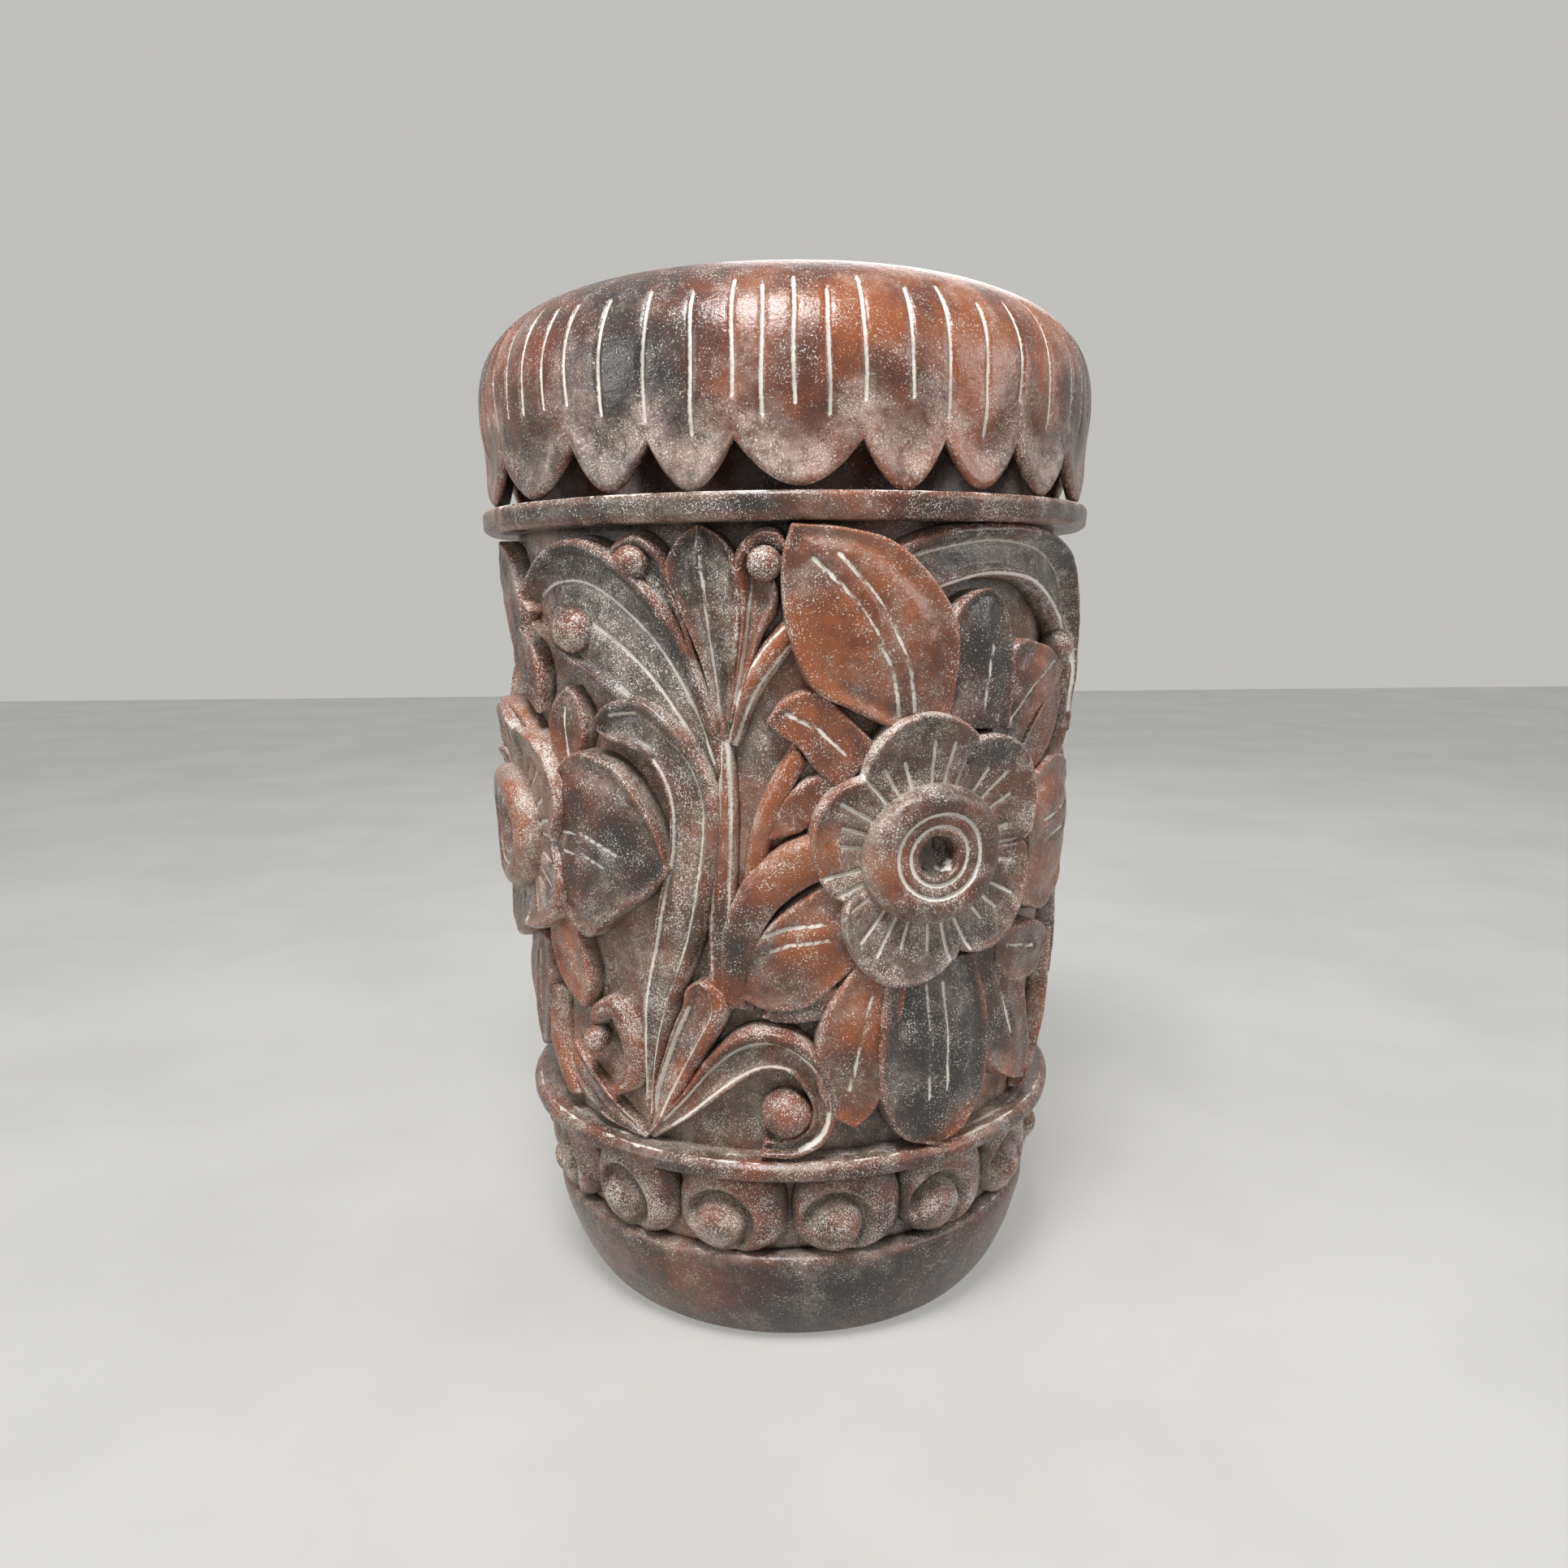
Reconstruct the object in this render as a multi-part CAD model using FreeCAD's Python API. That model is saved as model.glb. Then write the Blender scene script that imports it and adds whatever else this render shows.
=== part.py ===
import FreeCAD, Part
import math
import os

# A tall terracotta floor pot. The clay drum is thrown, its foot, ledge, band and petal
# collar are separate rings, and the flowers, leaves and scrolls are sprigs of clay
# luted on to the drum's wall. Everything is in millimetres, with +Z up. The origin is
# the centre of the foot, on the floor. Angles go round the pot from the front (-Y),
# and are positive towards +X.

# Heights up the pot
foot_height = 60.0
frieze_height = 48.0
ledge_height = 12.0
field_height = 319.0
band_height = 13.5
collar_height = 112.0

# The wall's outer radius low, midway and high in the carved field
wall_low_radius = 147.0
wall_mid_radius = 156.0
wall_high_radius = 159.0

# How far each ring and recess stands in from the wall or out from it
frieze_recess = 6.0
ledge_projection = 14.0
foot_projection = 7.0
foot_taper = 23.0
neck_recess = 11.0
band_projection = 16.0
collar_overhang = 1.5

# Clay thickness
wall_thickness = 20.0
floor_thickness = 24.0
foot_edge_round = 3.0
ring_edge_round = 2.0

# The hole that drains the pot
drain_radius = 12.5

# The petal collar
mouth_inset = 70.5
shoulder_height = 57.0
skirt_thickness = 11.0
skirt_tip_gap = 0.3
lip_height = 26.0
collar_seat_width = 9.0
petal_count = 20
notch_height = 25.0

# The notches between petals, as they were cut by hand round the skirt
notch_degrees = (-59, -37, -22, -8, 12, 26, 41, 57, 76, 95, 114, 133, 152, 171, 190, 209, 228, 246, 262, 279)

# A petal's edge: how wide it is at its tip, and at its swell, and how high the swell is
petal_tip_share = 0.92
petal_swell_share = 0.42

# How far the lip and the foot's corner are rounded, across and down
lip_across_share = 0.2
lip_down_share = 0.3
foot_corner_share = 0.3

# The running scrolls under the ledge
scroll_count = 15
scroll_width = 42.0
scroll_depth = 9.0
scroll_bud_radius = 9.5
scroll_bud_proud = 5.0
scroll_height_share = 0.82
scroll_first_degrees = 11.5

# The flowers
petal_lobes = 6
flower_radius = 70.0
flower_lobe_radius = 32.0
flower_proud = 13.0
boss_radius = 36.0
boss_proud = 7.0
boss_root = 7.0
boss_round = 5.0
boss_dimple_radius = 11.0
boss_dimple_depth = 9.0
dimple_floor_share = 0.7
corner_share = 0.293
flower_height_share = 0.496
flower_degrees = (25.0, -68.0)

# The relief's thickness above the wall: at its middle and at its edges. The thickest leaves
# stay this far behind the band.
leaf_set_back = 1.0
leaf_edge = 8.0
arm_crown = 10.0
arm_edge = 6.0
stem_crown = 9.0
stem_edge = 3.0
bud_radius = 11.0
bud_proud = 12.0

# How far a sprig reaches into the wall before the wall is cut from it, and how far cuts overrun
sprig_root = 3.0
overrun = 5.0

# How many stations a sprig is lofted through, and how soon it reaches its full thickness
sprig_stations = 9
sprig_end_share = 2.2

# How many spans the drawn curves are made of
wall_spans = 8
dome_spans = 6
petal_face_spans = 4

# Radii worked out from the sizes above
frieze_radius = wall_low_radius - frieze_recess
ledge_radius = wall_low_radius + ledge_projection
foot_edge_radius = frieze_radius + foot_projection
foot_base_radius = foot_edge_radius - foot_taper
neck_radius = wall_high_radius - neck_recess
band_radius = wall_high_radius + band_projection
collar_radius = band_radius + collar_overhang
mouth_radius = collar_radius - mouth_inset
leaf_crown = band_projection - leaf_set_back

# Heights worked out from the sizes above
ledge_bottom = foot_height + frieze_height
field_bottom = ledge_bottom + ledge_height
field_top = field_bottom + field_height
band_top = field_top + band_height
collar_top = band_top + collar_height
collar_bottom = band_top + skirt_tip_gap
neck_top = collar_top - lip_height
top_centre = FreeCAD.Vector(0, 0, 0)
pot_axis = FreeCAD.Vector(0, 0, 1)


def vec(x, y, z):
    return FreeCAD.Vector(x, y, z)


def ring_from_outline(outline):
    """A solid of revolution from a closed outline of (radius, height) points."""
    points = [vec(r, 0, z) for r, z in outline]
    wire = Part.makePolygon(points + points[:1])
    return Part.Face(wire).revolve(top_centre, pot_axis, 360)


def ring_from_edges(edges):
    """A solid of revolution from the edges of a closed outline in the XZ plane."""
    return Part.Face(Part.Wire(edges)).revolve(top_centre, pot_axis, 360)


def line(a, b):
    return Part.makeLine(vec(a[0], 0, a[1]), vec(b[0], 0, b[1]))


def arc(a, middle, b):
    return Part.Arc(vec(a[0], 0, a[1]), vec(middle[0], 0, middle[1]), vec(b[0], 0, b[1])).toShape()


def wall_radius(z):
    """The drum wall's outer radius in the carved field: an arc-like swell from low to high."""
    share = (z - field_bottom) / field_height
    low, mid, high = wall_low_radius, wall_mid_radius, wall_high_radius
    return low * (1 - share) * (1 - 2 * share) + 4 * mid * share * (1 - share) + high * share * (2 * share - 1)


def wall_outline_edge(a_share, b_share):
    """The wall's outer line between two heights, as one smooth curve."""
    points = []
    for i in range(wall_spans + 1):
        z = field_bottom + field_height * (a_share + (b_share - a_share) * i / wall_spans)
        points.append(vec(wall_radius(z), 0, z))
    curve = Part.BSplineCurve()
    curve.interpolate(points)
    return curve.toShape()


# The drum and its rings


def make_drum():
    """The thrown wall from the top of the foot to the collar's seat, hollow all the way."""
    inner_low = frieze_radius - wall_thickness
    inner_high = neck_radius - wall_thickness
    edges = [
        line((inner_low, foot_height), (frieze_radius, foot_height)),
        line((frieze_radius, foot_height), (frieze_radius, ledge_bottom)),
        line((frieze_radius, ledge_bottom), (wall_low_radius, field_bottom)),
        wall_outline_edge(0, 1),
        line((wall_high_radius, field_top), (neck_radius, band_top)),
        line((neck_radius, band_top), (neck_radius, neck_top)),
        line((neck_radius, neck_top), (inner_high, neck_top)),
        line((inner_high, neck_top), (inner_high, band_top)),
        line((inner_high, band_top), (wall_high_radius - wall_thickness, field_top - wall_thickness)),
        line((wall_high_radius - wall_thickness, field_top - wall_thickness), (inner_low, ledge_bottom)),
        line((inner_low, ledge_bottom), (inner_low, foot_height)),
    ]
    return ring_from_edges(edges)


def make_wall_core():
    """The drum with no hollow, which trims the back of each sprig and ring to the wall."""
    edges = [
        line((0, foot_height), (frieze_radius, foot_height)),
        line((frieze_radius, foot_height), (frieze_radius, ledge_bottom)),
        line((frieze_radius, ledge_bottom), (wall_low_radius, field_bottom)),
        wall_outline_edge(0, 1),
        line((wall_high_radius, field_top), (neck_radius, band_top)),
        line((neck_radius, band_top), (neck_radius, neck_top)),
        line((neck_radius, neck_top), (0, neck_top)),
        line((0, neck_top), (0, foot_height)),
    ]
    return ring_from_edges(edges)


def make_foot():
    """The foot and the pot's floor, in one piece, with the drain hole through it."""
    swell = (foot_base_radius + foot_edge_radius) / 2 + foot_edge_round
    edges = [
        line((drain_radius, 0), (foot_base_radius - foot_edge_round, 0)),
        arc(
            (foot_base_radius - foot_edge_round, 0),
            (foot_base_radius - foot_edge_round * foot_corner_share, foot_edge_round * foot_corner_share),
            (foot_base_radius, foot_edge_round),
        ),
        arc(
            (foot_base_radius, foot_edge_round),
            (swell, foot_height / 2),
            (foot_edge_radius, foot_height - foot_edge_round),
        ),
        line((foot_edge_radius, foot_height - foot_edge_round), (foot_edge_radius - foot_edge_round, foot_height)),
        line((foot_edge_radius - foot_edge_round, foot_height), (frieze_radius - wall_thickness, foot_height)),
        line((frieze_radius - wall_thickness, foot_height), (foot_base_radius - wall_thickness, floor_thickness)),
        line((foot_base_radius - wall_thickness, floor_thickness), (drain_radius, floor_thickness)),
        line((drain_radius, floor_thickness), (drain_radius, 0)),
    ]
    return ring_from_edges(edges)


def make_ledge():
    """The ledge ring under the carved field, with a sloping top."""
    outline = [
        (frieze_radius - overrun, ledge_bottom),
        (ledge_radius - ring_edge_round, ledge_bottom),
        (ledge_radius, ledge_bottom + ring_edge_round),
        (ledge_radius, field_bottom - ring_edge_round),
        (ledge_radius - ring_edge_round, field_bottom),
        (frieze_radius - overrun, field_bottom),
    ]
    return ring_from_outline(outline)


def make_band():
    """The flat band that the collar's petals hang over, bevelled underneath."""
    outline = [
        (neck_radius - overrun, field_top + ring_edge_round),
        (wall_high_radius + ring_edge_round, field_top),
        (band_radius - ring_edge_round, field_top),
        (band_radius, field_top + ring_edge_round),
        (band_radius, band_top - ring_edge_round),
        (band_radius - ring_edge_round, band_top),
        (neck_radius - overrun, band_top),
    ]
    return ring_from_outline(outline)


def make_collar():
    """The domed collar: a rolled rim round the mouth and a skirt that hangs in front of the neck."""
    shoulder_z = collar_bottom + shoulder_height
    drop = collar_top - shoulder_z
    reach = collar_radius - mouth_radius
    skirt_inner = collar_radius - skirt_thickness
    skirt_top = neck_top - collar_seat_width
    shoulder = [(collar_radius, shoulder_z)]
    for i in range(1, dome_spans):
        turn = math.radians(90 * i / dome_spans)
        shoulder.append((mouth_radius + reach * math.cos(turn), shoulder_z + drop * math.sin(turn)))
    shoulder.append((mouth_radius, collar_top))
    dome = Part.BSplineCurve()
    dome.interpolate(Points=[vec(r, 0, z) for r, z in shoulder], InitialTangent=vec(0, 0, 1), FinalTangent=vec(-1, 0, 0))
    lip_inner = mouth_radius - skirt_thickness
    edges = [
        line((collar_radius - ring_edge_round, collar_bottom), (collar_radius, shoulder_z)),
        dome.toShape(),
        arc(
            (mouth_radius, collar_top),
            (lip_inner + skirt_thickness * lip_across_share, collar_top - skirt_thickness * lip_down_share),
            (lip_inner, collar_top - skirt_thickness),
        ),
        line((lip_inner, collar_top - skirt_thickness), (lip_inner, neck_top)),
        line((lip_inner, neck_top), (neck_radius, neck_top)),
        line((neck_radius, neck_top), (neck_radius, skirt_top)),
        line((neck_radius, skirt_top), (skirt_inner, skirt_top)),
        line((skirt_inner, skirt_top), (skirt_inner, collar_bottom)),
        line((skirt_inner, collar_bottom), (collar_radius - ring_edge_round, collar_bottom)),
    ]
    collar = ring_from_edges(edges)
    for i, here in enumerate(notch_degrees):
        before = notch_degrees[i - 1] if i else notch_degrees[-1] - 360
        after = notch_degrees[(i + 1) % petal_count] + (360 if i == petal_count - 1 else 0)
        collar = collar.cut(make_notch(here, (here - before) / 2, (after - here) / 2))
    return collar


def make_notch(degrees, left_degrees, right_degrees):
    """The pointed gap between two petals: its sides swell in as the petals' edges do."""
    left = -collar_radius * math.radians(left_degrees)
    right = collar_radius * math.radians(right_degrees)
    floor = collar_bottom - overrun / 2

    def side(x):
        foot = vec(x * petal_tip_share, 0, floor)
        middle = vec(x * petal_swell_share, 0, collar_bottom + notch_height * petal_swell_share)
        return foot, middle

    top = vec(0, 0, collar_bottom + notch_height)
    left_foot, left_middle = side(left)
    right_foot, right_middle = side(right)
    outline = Part.Wire(
        [
            Part.Arc(left_foot, left_middle, top).toShape(),
            Part.Arc(top, right_middle, right_foot).toShape(),
            Part.makeLine(right_foot, left_foot),
        ]
    )
    cutter = Part.Face(outline).extrude(vec(0, -(collar_radius - neck_radius), 0))
    cutter.translate(vec(0, -(neck_radius + overrun / 2), 0))
    cutter.rotate(top_centre, pot_axis, degrees)
    return cutter


# Sprigs on the wall


def off_wall(here, beside, above, proud):
    """A point beside and above a station, so far out from the wall there, square to the station."""
    reach = wall_radius(here.y + above) + proud
    turn = here.x / wall_mid_radius
    outward = math.sqrt(reach * reach - beside * beside)
    x = outward * math.sin(turn) + beside * math.cos(turn)
    y = -outward * math.cos(turn) + beside * math.sin(turn)
    return vec(x, y, here.y + above)


def smooth_path(path_shares, width_shares):
    """Evenly spaced stations along a sprig: (distance round the wall, height, half width)."""
    flat = []
    for (degrees, height_share), width_share in zip(path_shares, width_shares):
        flat.append(
            vec(
                wall_mid_radius * math.radians(degrees),
                field_bottom + height_share * field_height,
                width_share * field_height,
            )
        )
    curve = Part.BSplineCurve()
    curve.interpolate(flat)
    stations = curve.toShape().discretize(Number=sprig_stations)
    return stations


def make_sprig(path_shares, width_shares, crown, edge):
    """A length of clay with a crowned face that follows a path on the wall."""
    stations = smooth_path(path_shares, width_shares)
    least = stem_edge / 4
    wires = []
    for i, here in enumerate(stations):
        before = stations[max(i - 1, 0)]
        after = stations[min(i + 1, len(stations) - 1)]
        along = math.hypot(after.x - before.x, after.y - before.y)
        across_x, across_z = (after.y - before.y) / along, -(after.x - before.x) / along
        half = max(here.z, least)

        def point(share, proud):
            return off_wall(here, across_x * half * share, across_z * half * share, proud)

        end_share = min(1.0, sprig_end_share * half / (field_height * max(width_shares)))
        rise = edge + (crown - edge) * end_share
        wires.append(
            Part.Wire(
                [
                    Part.makeLine(point(1, -sprig_root), point(-1, -sprig_root)),
                    Part.makeLine(point(-1, -sprig_root), point(-1, edge)),
                    Part.Arc(point(-1, edge), point(0, rise), point(1, edge)).toShape(),
                    Part.makeLine(point(1, edge), point(1, -sprig_root)),
                ]
            )
        )
    return Part.makeLoft(wires, True, False)


def make_bud(degrees, height_share, radius, proud):
    """A round bud of clay at the end of a scroll."""
    z = field_bottom + height_share * field_height
    bud = Part.makeSphere(radius, vec(0, -(wall_radius(z) + proud - radius), z))
    bud.rotate(top_centre, pot_axis, degrees)
    return bud


def make_petals(degrees):
    """A flower's ring of overlapping round petals, which follows the curve of the wall."""
    z = field_bottom + flower_height_share * field_height
    reach = flower_radius - flower_lobe_radius
    depth = flower_radius + flower_proud
    outline = Part.makeCylinder(reach, depth)
    for i in range(petal_lobes):
        turn = math.radians(90 + 360 * i / petal_lobes)
        centre = vec(reach * math.cos(turn), reach * math.sin(turn), 0)
        outline = outline.fuse(Part.makeCylinder(flower_lobe_radius, depth, centre))
    turned = turn_to_wall(outline.removeSplitter(), wall_radius(z) - flower_radius + overrun, degrees, z)
    points = []
    for i in range(petal_face_spans + 1):
        height = z + (flower_radius + overrun) * (2 * i / petal_face_spans - 1)
        points.append(vec(wall_radius(height) + flower_proud, 0, height))
    face = Part.BSplineCurve()
    face.interpolate(points)
    low, high = points[0], points[-1]
    edges = [
        face.toShape(),
        line((high.x, high.z), (0, high.z)),
        line((0, high.z), (0, low.z)),
        line((0, low.z), (low.x, low.z)),
    ]
    return turned.common(ring_from_edges(edges))


def turn_to_wall(shape, base, degrees, z):
    """Lays a piece that was made on the XY plane against the wall, facing out."""
    shape.rotate(top_centre, vec(1, 0, 0), 90)
    shape.translate(vec(0, -base, z))
    shape.rotate(top_centre, pot_axis, degrees)
    return shape


def make_boss(degrees):
    """The flower's round boss, with a dimple in its middle."""
    z = field_bottom + flower_height_share * field_height
    base = wall_radius(z) + flower_proud - boss_root
    top = boss_root + boss_proud
    inner = boss_dimple_radius * dimple_floor_share
    edges = [
        line((0, 0), (boss_radius, 0)),
        line((boss_radius, 0), (boss_radius, top - boss_round)),
        arc(
            (boss_radius, top - boss_round),
            (boss_radius - boss_round * corner_share, top - boss_round * corner_share),
            (boss_radius - boss_round, top),
        ),
        line((boss_radius - boss_round, top), (boss_dimple_radius, top)),
        line((boss_dimple_radius, top), (inner, top - boss_dimple_depth)),
        line((inner, top - boss_dimple_depth), (0, top - boss_dimple_depth)),
        line((0, top - boss_dimple_depth), (0, 0)),
    ]
    return turn_to_wall(ring_from_edges(edges), base, degrees, z)


# Each sprig: its path as (degrees, share of the field's height), its half width at each
# point as a share of the field's height, and its kind. The ones that lie on top come
# first, and each later one is trimmed where it runs under them.
sprigs = {
    "leaf_top": ([(23, 0.678), (19, 0.753), (13, 0.841), (6, 0.925), (0.5, 0.99)], [0.06, 0.108, 0.124, 0.085, 0.02], "leaf"),
    "leaf_left": ([(13, 0.634), (7, 0.665), (1, 0.7), (-4, 0.719)], [0.045, 0.048, 0.035, 0.012], "leaf"),
    "leaf_upper_right": ([(35, 0.684), (35, 0.753), (35, 0.832), (36, 0.888)], [0.045, 0.058, 0.055, 0.025], "leaf"),
    "leaf_right_upper": ([(43, 0.675), (49, 0.722), (55, 0.766), (61, 0.79)], [0.04, 0.055, 0.05, 0.02], "leaf"),
    "leaf_right_middle": ([(50, 0.628), (57, 0.675), (63, 0.722), (67, 0.76)], [0.03, 0.045, 0.045, 0.015], "leaf"),
    "leaf_right": ([(48, 0.486), (58, 0.483), (68, 0.477), (78, 0.464)], [0.09, 0.122, 0.1, 0.03], "leaf"),
    "leaf_bottom": ([(27, 0.29), (27, 0.204), (28, 0.1), (30, 0.004)], [0.075, 0.094, 0.084, 0.026], "leaf"),
    "leaf_bottom_left": ([(16, 0.301), (11, 0.22), (9, 0.126), (11, 0.053)], [0.05, 0.06, 0.052, 0.016], "leaf"),
    "leaf_lower_right": ([(44, 0.301), (49, 0.22), (52, 0.141), (54, 0.069)], [0.044, 0.054, 0.048, 0.016], "leaf"),
    "leaf_lower_left": ([(8, 0.377), (2, 0.339), (-4, 0.301), (-10, 0.273)], [0.056, 0.075, 0.07, 0.026], "leaf"),
    "leaf_small": ([(7, 0.262), (1, 0.254), (-4, 0.24)], [0.024, 0.02, 0.008], "leaf"),
    "leaf_west": ([(-47, 0.515), (-40, 0.508), (-32, 0.496), (-23, 0.477)], [0.09, 0.132, 0.12, 0.026], "leaf"),
    "leaf_west_small": ([(-45, 0.621), (-44, 0.659), (-43, 0.706), (-43, 0.747)], [0.016, 0.032, 0.035, 0.012], "leaf"),
    "leaf_west_narrow": ([(-54, 0.706), (-56, 0.76), (-58, 0.81), (-60, 0.85)], [0.02, 0.03, 0.026, 0.01], "leaf"),
    "leaf_west_upper": ([(-57, 0.6), (-63, 0.65), (-70, 0.69), (-77, 0.71)], [0.038, 0.052, 0.045, 0.016], "leaf"),
    "leaf_west_top": ([(-63, 0.79), (-67, 0.853), (-70, 0.916), (-73, 0.976)], [0.026, 0.045, 0.042, 0.016], "leaf"),
    "leaf_west_lower": ([(-50, 0.351), (-50, 0.301), (-48, 0.251), (-45, 0.213)], [0.028, 0.038, 0.032, 0.012], "leaf"),
    "leaf_west_bottom": ([(-62, 0.3), (-64, 0.24), (-66, 0.17), (-67, 0.1)], [0.032, 0.042, 0.038, 0.014], "leaf"),
    "leaf_far_upper": ([(-87, 0.6), (-91, 0.66), (-95, 0.73), (-98, 0.79)], [0.035, 0.05, 0.045, 0.016], "leaf"),
    "leaf_far_lower": ([(-86, 0.38), (-91, 0.32), (-95, 0.25), (-98, 0.18)], [0.035, 0.05, 0.045, 0.016], "leaf"),
    "fan_leaf": ([(-11, 0.722), (-12, 0.8), (-13.5, 0.894), (-14, 0.99)], [0.012, 0.028, 0.04, 0.012], "arm"),
    "fan_curl_left": ([(-14, 0.8), (-17, 0.863), (-19.5, 0.926), (-22.5, 0.972), (-26, 0.976)], [0.012, 0.018, 0.02, 0.018, 0.014], "arm"),
    "fan_curl_right": ([(-9, 0.8), (-8, 0.863), (-7, 0.926), (-5, 0.976), (-2, 0.978)], [0.012, 0.022, 0.024, 0.018, 0.012], "arm"),
    "arm_left": (
        [(-12, 0.565), (-14.5, 0.706), (-21, 0.822), (-29, 0.907), (-38, 0.948), (-46, 0.922), (-49, 0.872)],
        [0.012, 0.026, 0.038, 0.045, 0.042, 0.034, 0.02],
        "arm",
    ),
    "arm_inner": (
        [(-35, 0.69), (-29, 0.706), (-21.5, 0.665), (-17, 0.6), (-16, 0.511), (-18.5, 0.392), (-23, 0.282), (-28, 0.182)],
        [0.02, 0.03, 0.036, 0.034, 0.031, 0.031, 0.028, 0.016],
        "arm",
    ),
    "arm_right": (
        [(14, 0.891), (24, 0.932), (38, 0.95), (52, 0.938), (62, 0.9), (69, 0.845), (69, 0.79)],
        [0.025, 0.038, 0.042, 0.042, 0.037, 0.03, 0.018],
        "arm",
    ),
    "scroll_low": (
        [(-28, 0.025), (-20, 0.09), (-12, 0.157), (-4, 0.19), (3, 0.165), (6, 0.11), (4.5, 0.055)],
        [0.014, 0.024, 0.03, 0.034, 0.03, 0.026, 0.018],
        "arm",
    ),
    "loop_low": ([(-29, 0.04), (-25, 0.113), (-20, 0.195), (-15.5, 0.266)], [0.012, 0.026, 0.038, 0.026], "arm"),
    "tendril_low": (
        [(-42, 0.2), (-37.5, 0.229), (-33.5, 0.195), (-32.5, 0.138), (-34.5, 0.094), (-38, 0.072)],
        [0.018, 0.018, 0.017, 0.017, 0.014, 0.01],
        "arm",
    ),
    "scroll_east": ([(61, 0.03), (67, 0.094), (71, 0.188), (72, 0.282)], [0.022, 0.03, 0.028, 0.014], "arm"),
    "leaf_east_small": ([(54, 0.33), (59, 0.31), (64, 0.275)], [0.018, 0.024, 0.01], "leaf"),
    "stem_bar": ([(-10, 0.262), (-9, 0.361), (-5, 0.445), (4, 0.518)], [0.022, 0.026, 0.028, 0.02], "stem"),
    "spine": ([(-12.5, 0.28), (-12.7, 0.383), (-11.7, 0.511), (-11, 0.65), (-10.7, 0.722)], [0.014, 0.014, 0.013, 0.01, 0.006], "stem"),
    "stem_middle": ([(-8, 0.5), (-5, 0.571), (-1.5, 0.634)], [0.012, 0.012, 0.01], "stem"),
    "stem_upper": ([(-10, 0.66), (-6.5, 0.722), (-2, 0.784)], [0.008, 0.014, 0.014], "stem"),
    "stem_west": ([(-57, 0.22), (-58, 0.15), (-57, 0.09), (-53, 0.035)], [0.016, 0.02, 0.018, 0.012], "stem"),
}

# The thickness of each kind at its middle and its edge
kinds = {"leaf": (leaf_crown, leaf_edge), "arm": (arm_crown, arm_edge), "stem": (stem_crown, stem_edge)}

# Buds: which scroll each one belongs to, its place and its radius as a share of the largest
buds = {
    "bud_arm_left": (-40, 0.845, 1.0),
    "bud_arm_right": (62, 0.815, 0.8),
    "bud_scroll_low": (-1.5, 0.08, 1.15),
    "bud_curl_left": (-26, 0.935, 0.85),
    "bud_curl_right": (-3.5, 0.94, 0.7),
    "bud_tendril": (-41.5, 0.165, 0.7),
}


def largest(shape):
    """The main solid that is left when a sprig has been trimmed."""
    return max(shape.Solids, key=lambda solid: solid.Volume)


def trimmed(shape, placed):
    """A sprig with its neighbours' clay cut away where it meets them."""
    for other in placed:
        if shape.BoundBox.intersect(other.BoundBox):
            shape = shape.cut(other)
    return largest(shape)


def make_relief(wall_core, rings):
    """Every sprig on one half of the pot, by name."""
    made = {}

    def place(name, shape):
        near = list(made.values()) + rings
        made[name] = trimmed(shape.cut(wall_core), near)

    for side, degrees in zip(("right", "left"), flower_degrees):
        place("flower_petals_" + side, make_petals(degrees))
        place("flower_boss_" + side, make_boss(degrees))
    for name, (degrees, height_share, size_share) in buds.items():
        place(name, make_bud(degrees, height_share, bud_radius * size_share, bud_proud * size_share))
    for name, (path_shares, width_shares, kind) in sprigs.items():
        place(name, make_sprig(path_shares, width_shares, *kinds[kind]))
    return made


# The frieze of running scrolls


def make_frieze(wall_core, rings):
    """Short swelling scrolls with a bud in each, all round between the foot and the ledge."""
    scrolls, scroll_buds = [], []
    z = foot_height + frieze_height / 2
    tall = frieze_height * scroll_height_share / 2
    for i in range(scroll_count):
        degrees = scroll_first_degrees + 360 * i / scroll_count
        lump = Part.makeSphere(scroll_width / 2)
        squash = FreeCAD.Matrix()
        squash.scale(1, 2 * scroll_depth / scroll_width, 2 * tall / scroll_width)
        lump = lump.transformGeometry(squash)
        lump.translate(vec(0, -frieze_radius, z))
        bud = Part.makeSphere(scroll_bud_radius)
        bud.translate(vec(-scroll_bud_radius / 2, -(frieze_radius + scroll_depth - scroll_bud_proud), z - tall / 4))
        for shape in (lump, bud):
            shape.rotate(top_centre, pot_axis, degrees)
        lump = lump.cut(wall_core).cut(bud)
        bud = bud.cut(wall_core)
        for ring in rings:
            lump = lump.cut(ring)
            bud = bud.cut(ring)
        scrolls.append(largest(lump))
        scroll_buds.append(largest(bud))
    return Part.makeCompound(scrolls), Part.makeCompound(scroll_buds)


def write(name, shape):
    shape.exportStep(os.path.join("parts", name + ".step"))
    print(name, "solids", len(shape.Solids), "volume", round(shape.Volume / 1000, 1), "cm3", "valid", shape.isValid())


def main():
    os.makedirs("parts", exist_ok=True)
    wall_core = make_wall_core()
    foot = make_foot()
    ledge = make_ledge().cut(wall_core)
    band = make_band().cut(wall_core)
    collar = make_collar()
    write("drum_wall", make_drum())
    write("foot", foot)
    write("ledge_ring", ledge)
    write("band_ring", band)
    write("petal_collar", collar)
    scrolls, scroll_buds = make_frieze(wall_core, [foot, ledge])
    write("frieze_scrolls", scrolls)
    write("frieze_buds", scroll_buds)
    for name, front in make_relief(wall_core, [ledge, band]).items():
        back = front.copy()
        back.rotate(top_centre, pot_axis, 180)
        write(name, Part.makeCompound([front, back]))


main()
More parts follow.
